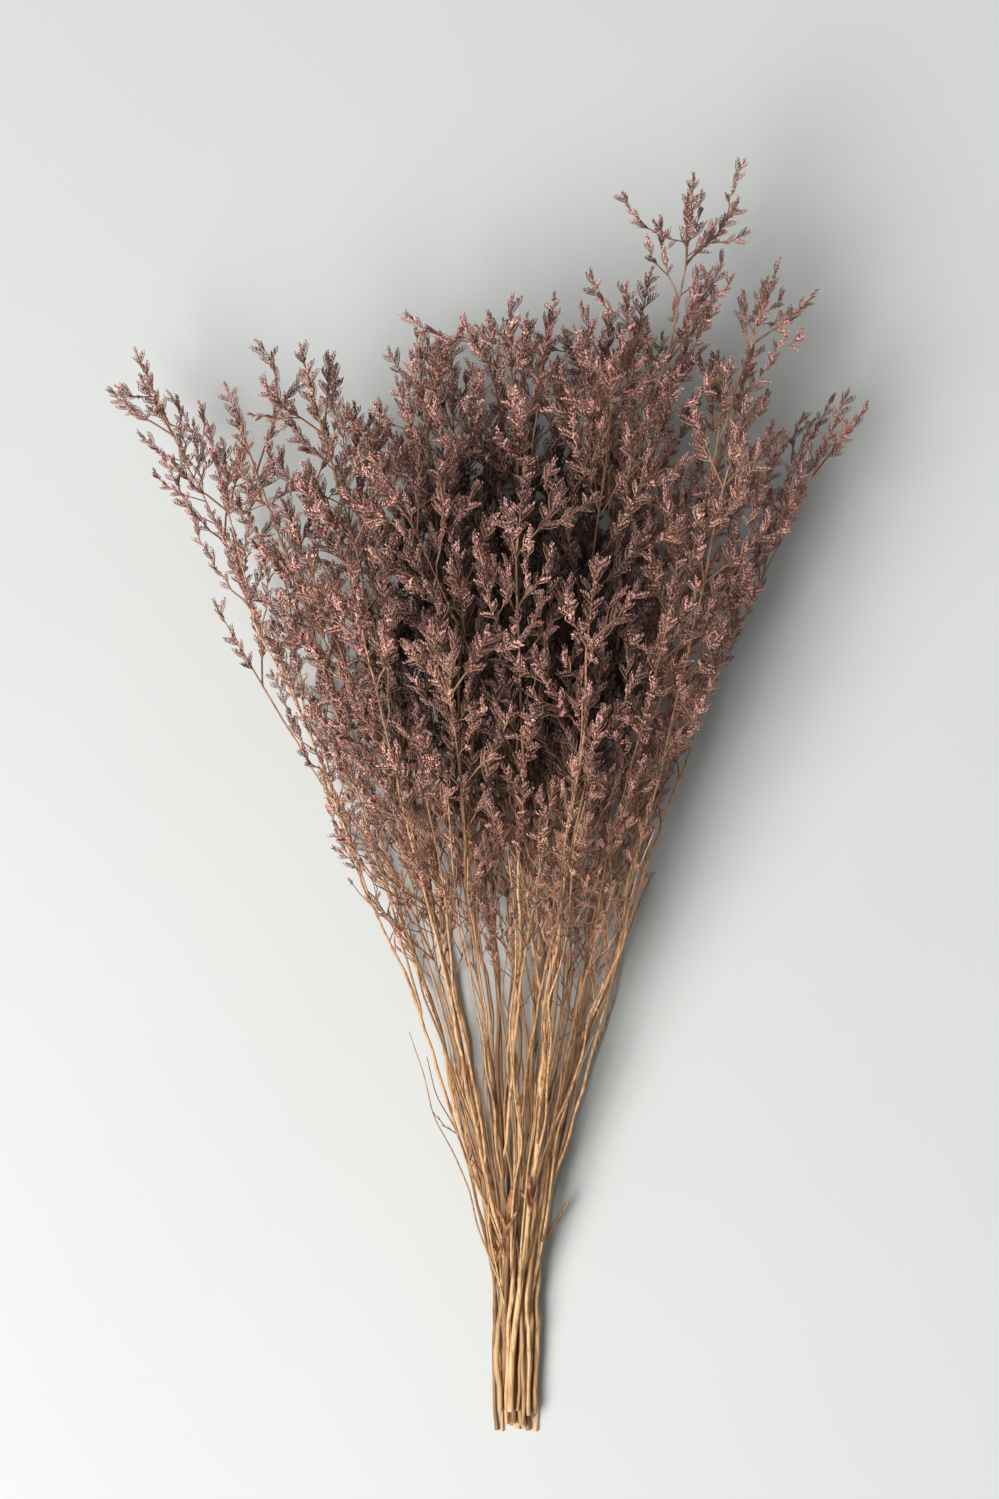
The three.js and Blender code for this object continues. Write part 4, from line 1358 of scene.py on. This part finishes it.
class Look:
    """A procedural material, built node by node."""

    def __init__(self, name, **sockets):
        self.material = bpy.data.materials.new(name)
        self.material.use_nodes = True
        self.tree = self.material.node_tree
        self.shader = self.tree.nodes["Principled BSDF"]
        self.place = self.add("ShaderNodeTexCoord").outputs["Object"]
        for socket, value in sockets.items():
            self.shader.inputs[socket.replace("_", " ")].default_value = value

    def put(self, socket, value):
        if isinstance(value, bpy.types.NodeSocket):
            self.tree.links.new(value, socket)
        else:
            socket.default_value = value

    def add(self, kind, inputs=None, **settings):
        node = self.tree.nodes.new(kind)
        for key, value in settings.items():
            setattr(node, key, value)
        for key, value in (inputs or {}).items():
            self.put(node.inputs[key], value)
        return node

    def looks(self):
        """The three numbers that each point of a piece carries."""
        found = self.add("ShaderNodeAttribute", attribute_name="look")
        return self.add("ShaderNodeSeparateXYZ", {0: found.outputs["Vector"]}).outputs

    def height(self):
        """How far up the bunch a place lies, in metres."""
        return self.add("ShaderNodeSeparateXYZ", {0: self.place}).outputs[1]

    def noise(self, scale, detail=2.0, stretch=(1, 1, 1)):
        mapped = self.add("ShaderNodeMapping", {"Vector": self.place, "Scale": stretch}).outputs[0]
        inputs = {"Vector": mapped, "Scale": scale, "Detail": detail, "Roughness": 0.55}
        return self.add("ShaderNodeTexNoise", inputs).outputs[0]

    def ramp(self, value, *stops):
        node = self.add("ShaderNodeValToRGB", {0: value})
        elements = node.color_ramp.elements
        while len(elements) < len(stops):
            elements.new(0.5)
        for element, (at, colour) in zip(elements, stops):
            element.position = at
            element.color = colour
        return node.outputs[0]

    def spread(self, value, low, high, to_low=0.0, to_high=1.0):
        inputs = {0: value, 1: low, 2: high, 3: to_low, 4: to_high}
        return self.add("ShaderNodeMapRange", inputs).outputs[0]

    def mix(self, factor, a, b):
        """Nodes of this kind hold a socket for each type of data. 6, 7 and 2 are the colours."""
        return self.add("ShaderNodeMix", {0: factor, 6: a, 7: b}, data_type="RGBA").outputs[2]

    def tint(self, colour, value, low, high, share, over):
        """The colour with another one over it, by how far a value has come from low to high."""
        return self.mix(self.spread(value, low, high, 0, share), colour, over)

    def painted_core_shade(self, colour, share, over):
        """The colour with a darker one over it in the middle of the bunch: painted shade where
        little light reaches the deep core.
        """
        inputs = {"Vector": self.place, "Location": (-0.15, -0.72, -0.68), "Scale": (10.5, 7, 11.5)}
        middle = self.add("ShaderNodeMapping", inputs).outputs[0]
        far = self.add("ShaderNodeVectorMath", {0: middle}, operation="LENGTH").outputs["Value"]
        return self.tint(colour, far, 1.0, 0.7, share, over)

    def brighter(self, colour, *spread):
        """The colour made darker or lighter by a value in its new range."""
        inputs = {"Color": colour, "Value": self.spread(*spread)}
        return self.add("ShaderNodeHueSaturation", inputs).outputs[0]

    def finish(self, colour, rough, bump, distance, strength):
        inputs = {"Height": bump, "Distance": distance, "Strength": strength}
        self.put(self.shader.inputs["Base Color"], colour)
        self.put(self.shader.inputs["Roughness"], rough)
        self.put(self.shader.inputs["Normal"], self.add("ShaderNodeBump", inputs).outputs[0])
        return self.material


def wood_look():
    """Dry stems: tan below, pinker above, streaked along their length, with pale cut ends."""
    look = Look("dry_stem", Specular_IOR_Level=0.35)
    thin, shade, cut = look.looks()
    main = look.ramp(
        look.spread(look.height(), -0.36, 0.34),
        (0.0, rgb(224, 182, 132)),
        (0.3, rgb(218, 170, 118)),
        (0.5, rgb(214, 166, 122)),
        (0.75, rgb(212, 168, 144)),
        (1.0, rgb(196, 152, 134)),
    )
    colour = look.mix(thin, main, rgb(150, 106, 90))
    streaks = look.noise(900, 3.0, (1, 0.045, 1))
    patches = look.noise(26, 3.0, (1, 0.5, 1))
    knots = look.noise(75)
    colour = look.tint(colour, streaks, 0.44, 0.66, 0.8, rgb(116, 68, 38))
    colour = look.tint(colour, patches, 0.42, 0.7, 0.4, rgb(230, 192, 144))
    colour = look.tint(colour, knots, 0.58, 0.72, 0.7, rgb(128, 84, 58))
    colour = look.tint(colour, shade, 0.5, 0.0, 0.6, rgb(144, 94, 58))
    colour = look.brighter(colour, shade, 0, PALE_STRAND, 0.6, 1.5)
    # Painted shade: the stems deep in the middle of the bunch are darkened.
    colour = look.painted_core_shade(colour, 0.744, rgb(58, 34, 22))
    grain = look.noise(2600)
    colour = look.mix(cut, colour, look.mix(grain, rgb(236, 208, 166), rgb(190, 148, 106)))
    rough = look.spread(streaks, 0.3, 0.7, 0.5, 0.78)
    return look.finish(colour, rough, streaks, 0.0005, 0.8)


def floret_look():
    """Papery florets: dark at the foot, dusty mauve, darker again at the mouth, warmer low down."""
    look = Look("dry_floret", Specular_IOR_Level=0.3, Sheen_Weight=0.1, Sheen_Roughness=0.5)
    tone, shade, _ = look.looks()
    # The near-black foot is partly the florets' own darker base and partly painted shade where they
    # crowd onto their stalk.
    colour = look.ramp(
        tone,
        (0.1, rgb(50, 20, 14)),
        (0.48, rgb(106, 62, 54)),
        (0.76, rgb(222, 172, 162)),
        (0.92, rgb(220, 170, 160)),
        (1.0, rgb(116, 70, 62)),
    )
    clumps = look.noise(34, 3.0)
    colour = look.tint(colour, clumps, 0.4, 0.65, 0.5, rgb(140, 88, 72))
    # Painted shade: the florets deep in the middle of the bunch are darkened.
    colour = look.painted_core_shade(colour, 0.93, rgb(36, 14, 9))
    # Warmer low down: partly painted light, as if shining through the thin florets, and partly a
    # warmer tone among the tan stems.
    colour = look.tint(colour, look.height(), 0.05, -0.12, 0.6, rgb(198, 144, 110))
    colour = look.brighter(colour, shade, 0, 1, 0.4, 1.65)
    fine = look.noise(1800)
    colour = look.brighter(colour, fine, 0.3, 0.7, 0.85, 1.12)
    return look.finish(colour, look.spread(fine, 0.3, 0.7, 0.7, 0.92), fine, 0.0003, 0.5)


def leaf_look():
    """Brown, papery leaf with long veins and blotches."""
    look = Look("dry_leaf", Specular_IOR_Level=0.3)
    _, shade, _ = look.looks()
    veins = look.noise(1500, 2.0, (1, 0.06, 1))
    colour = look.ramp(
        look.noise(160, 4.0),
        (0.32, rgb(98, 58, 38)),
        (0.5, rgb(150, 98, 66)),
        (0.68, rgb(196, 146, 104)),
    )
    colour = look.tint(colour, veins, 0.4, 0.7, 0.6, rgb(98, 58, 36))
    colour = look.brighter(colour, shade, 0, 1, 0.85, 1.2)
    return look.finish(colour, look.spread(veins, 0.3, 0.7, 0.6, 0.85), veins, 0.0006, 0.8)


WOOD, FLORET, LEAF = wood_look(), floret_look(), leaf_look()


# The pieces


def chain_between(shoot, low, high):
    """The shoot's points and radii between two heights."""
    inside = [bend for bend in shoot.bends if low < bend[1] < high]
    chain = [np.array(shoot.at(low)), *inside, np.array(shoot.at(high))]
    return chain, [shoot.radius(point[1]) for point in chain]


def bare_tube(shoot, top, swellings, seed, sides, cut_start, cut_end):
    """A shoot up to a height: slimmer than the solid, with knots, and thicker at the swellings."""
    points, radii = softened(*chain_between(shoot, shoot.start_y, top), seed)
    radii = radii * SLIMMER
    for y in swellings:
        near = np.exp(-(((points[:, 1] - y) / SWELLING_REACH) ** 2))
        radii = radii * (1 + SWELLING * near)
    draw = np.random.default_rng(seed)
    n = len(radii)
    is_knot = draw.uniform(size=n) < KNOT_SHARE
    uneven = np.where(is_knot, draw.uniform(1.12, 1.3, n), draw.uniform(0.93, 1.05, n))
    uneven[-1] = 1
    return points, radii * uneven, sides, (0, shoot.shade), cut_start, cut_end


def stem_tubes(stem, seed):
    """The bare part of a stem and of the forks that leave it there."""
    feet = [fork.start_y for fork in stem.forks]
    tubes = [bare_tube(stem, stem.split, feet, seed, 8, True, False)]
    for i, fork in enumerate(stem.forks):
        if fork.bare or fork.split is not None:
            top = fork.tip_y if fork.bare else fork.split
            tubes.append(bare_tube(fork, top, [], seed + i + 1, 7, False, fork.bare))
    return tubes


def grow_head(head, shoot, seed, crowd):
    """A head's own axis and those of the forks that leave it above its foot, with their twigs."""
    shoots = [shoot] + [fork for fork in shoot.forks if fork.start_y > shoot.split]
    for i, one in enumerate(shoots):
        low = shoot.split if one is shoot else one.start_y
        chain, radii = chain_between(one, low, one.bends[-2][1])
        chain += one.tip_path.chain()
        radii += list(np.linspace(TIP_RADIUS, THIN_END, len(one.tip_path.points) + 1))
        points, sizes = softened(chain, radii, seed + i)
        ageing = np.clip((points[:, 1] - one.tip_y + 130) / 130, 0, 0.8)
        look = np.stack([ageing, np.full(len(points), one.shade)], 1)
        head.tubes.append((points, sizes * SLIMMER, 6, look))
        flower_path(head, one.tip_path, crowd)
        for joint in one.joints.values():
            foot = one.bends[joint.k] + one.axis(joint.k) * 1.5
            for twig in joint.twigs:
                chain = np.array([foot, *twig.chain()])
                radii = np.linspace(TIP_RADIUS, THIN_END, len(chain))
                head.tubes.append((chain, radii, 4, (0.85, rng.uniform())))
                flower_path(head, twig, crowd)
    return [(head, one) for one in shoots]


def make_piece(kind, i, slot, materials, tubes, combs_by_kind=()):
    piece = Piece()
    for tube in tubes:
        add_tube(piece, *tube)
    for comb, places in zip(combs + spikes, combs_by_kind):
        add_combs(piece, comb, places)
    name = f"{kind}_{i + 1:02d}"
    piece.make("fine_" + name, materials, slot, name)


def make_bunch():
    shoots = make_shoots()
    stems = [shoot for shoot in shoots if not shoot.parent]
    flowering = [shoot for shoot in shoots if shoot.split is not None]
    for shoot in shoots:
        is_pale = shoot.tip_y < 0 and not shoot.bare
        shoot.shade = PALE_STRAND if is_pale else rng.uniform()
    tubes = [stem_tubes(stem, 1000 + i * 10) for i, stem in enumerate(stems)]
    crowd = Crowd()
    heads = {id(shoot): Head() for shoot in flowering}
    owners = []
    for i, shoot in enumerate(flowering):
        owners += grow_head(heads[id(shoot)], shoot, 5000 + i * 10, crowd)
    grow_whips(stems, heads, tubes, crowd)
    grow_dead_twigs(stems, tubes)
    sites = sprig_sites(owners)
    grow_branches(owners, crowd, sites)
    fill_with_sprigs(sites, crowd)
    for i, its_tubes in enumerate(tubes):
        make_piece("stem", i, "woody_stem", [WOOD], its_tubes)
    for i, head in enumerate(heads.values()):
        make_piece("head", i, "flower_head", [WOOD, FLORET], head.tubes, head.combs)
    for i, row in enumerate(LEAF_SCRAPS):
        make_leaf(i, shoots, row)


# The studio: a pale floor, a wide soft sun and one large lamp. Places and sizes are in metres.

FLOOR_HALF = 30
DAYLIGHT = (1.0, 0.985, 0.965)
SUN_PLACE = (-1.35, -0.1, 2.35)
SUN_POWER = 2.05
SUN_ANGLE = 0.62
LAMP_PLACE = (-1.15, -0.95, 1.6)
LAMP_AIM = (0, 0, 0.05)
LAMP_POWER = 46
LAMP_SIZE = 1.3
SKY = (0.93, 0.96, 0.96, 1)
SKY_STRENGTH = 0.25
CAMERA_PLACE = (0.0096, 0.0368, 2.29)
CAMERA_LENS = 96.8


def make_floor():
    mesh = bpy.data.meshes.new("floor")
    corners = [(x * FLOOR_HALF, y * FLOOR_HALF, 0) for x, y in ((-1, -1), (1, -1), (1, 1), (-1, 1))]
    mesh.from_pydata(corners, [], [(0, 1, 2, 3)])
    floor = bpy.data.objects.new("floor", mesh)
    bpy.context.scene.collection.objects.link(floor)
    look = Look("floor", Specular_IOR_Level=0.2)
    colour = look.mix(look.noise(3.0, 4.0), rgb(197, 200, 199), rgb(191, 194, 193))
    mesh.materials.append(look.finish(colour, 0.85, look.noise(60, 3.0), 0.0005, 0.1))


def make_light(name, kind, place, at, power, **settings):
    light = bpy.data.lights.new(name, kind)
    light.energy = power
    light.color = DAYLIGHT
    for key, value in settings.items():
        setattr(light, key, value)
    thing = bpy.data.objects.new(name, light)
    thing.location = place
    thing.rotation_euler = (Vector(at) - Vector(place)).to_track_quat("-Z", "Y").to_euler()
    bpy.context.scene.collection.objects.link(thing)
    return thing


def make_world():
    world = bpy.data.worlds.new("studio")
    world.use_nodes = True
    background = world.node_tree.nodes["Background"]
    background.inputs["Color"].default_value = SKY
    background.inputs["Strength"].default_value = SKY_STRENGTH
    bpy.context.scene.world = world


def make_camera():
    """The camera looks straight down on the bunch and frames it as the photo does."""
    camera = bpy.data.cameras.new("camera")
    camera.lens = CAMERA_LENS
    camera.sensor_width = 36.0
    camera.clip_end = 100
    thing = bpy.data.objects.new("camera", camera)
    thing.location = CAMERA_PLACE
    bpy.context.scene.collection.objects.link(thing)
    bpy.context.scene.camera = thing


make_bunch()
make_floor()
make_light("window", "SUN", SUN_PLACE, (0, 0, 0), SUN_POWER, angle=SUN_ANGLE)
key = make_light("key", "AREA", LAMP_PLACE, LAMP_AIM, LAMP_POWER, shape="DISK", size=LAMP_SIZE)
key.visible_camera = False
make_world()
make_camera()
bpy.context.scene.view_settings.view_transform = "Standard"
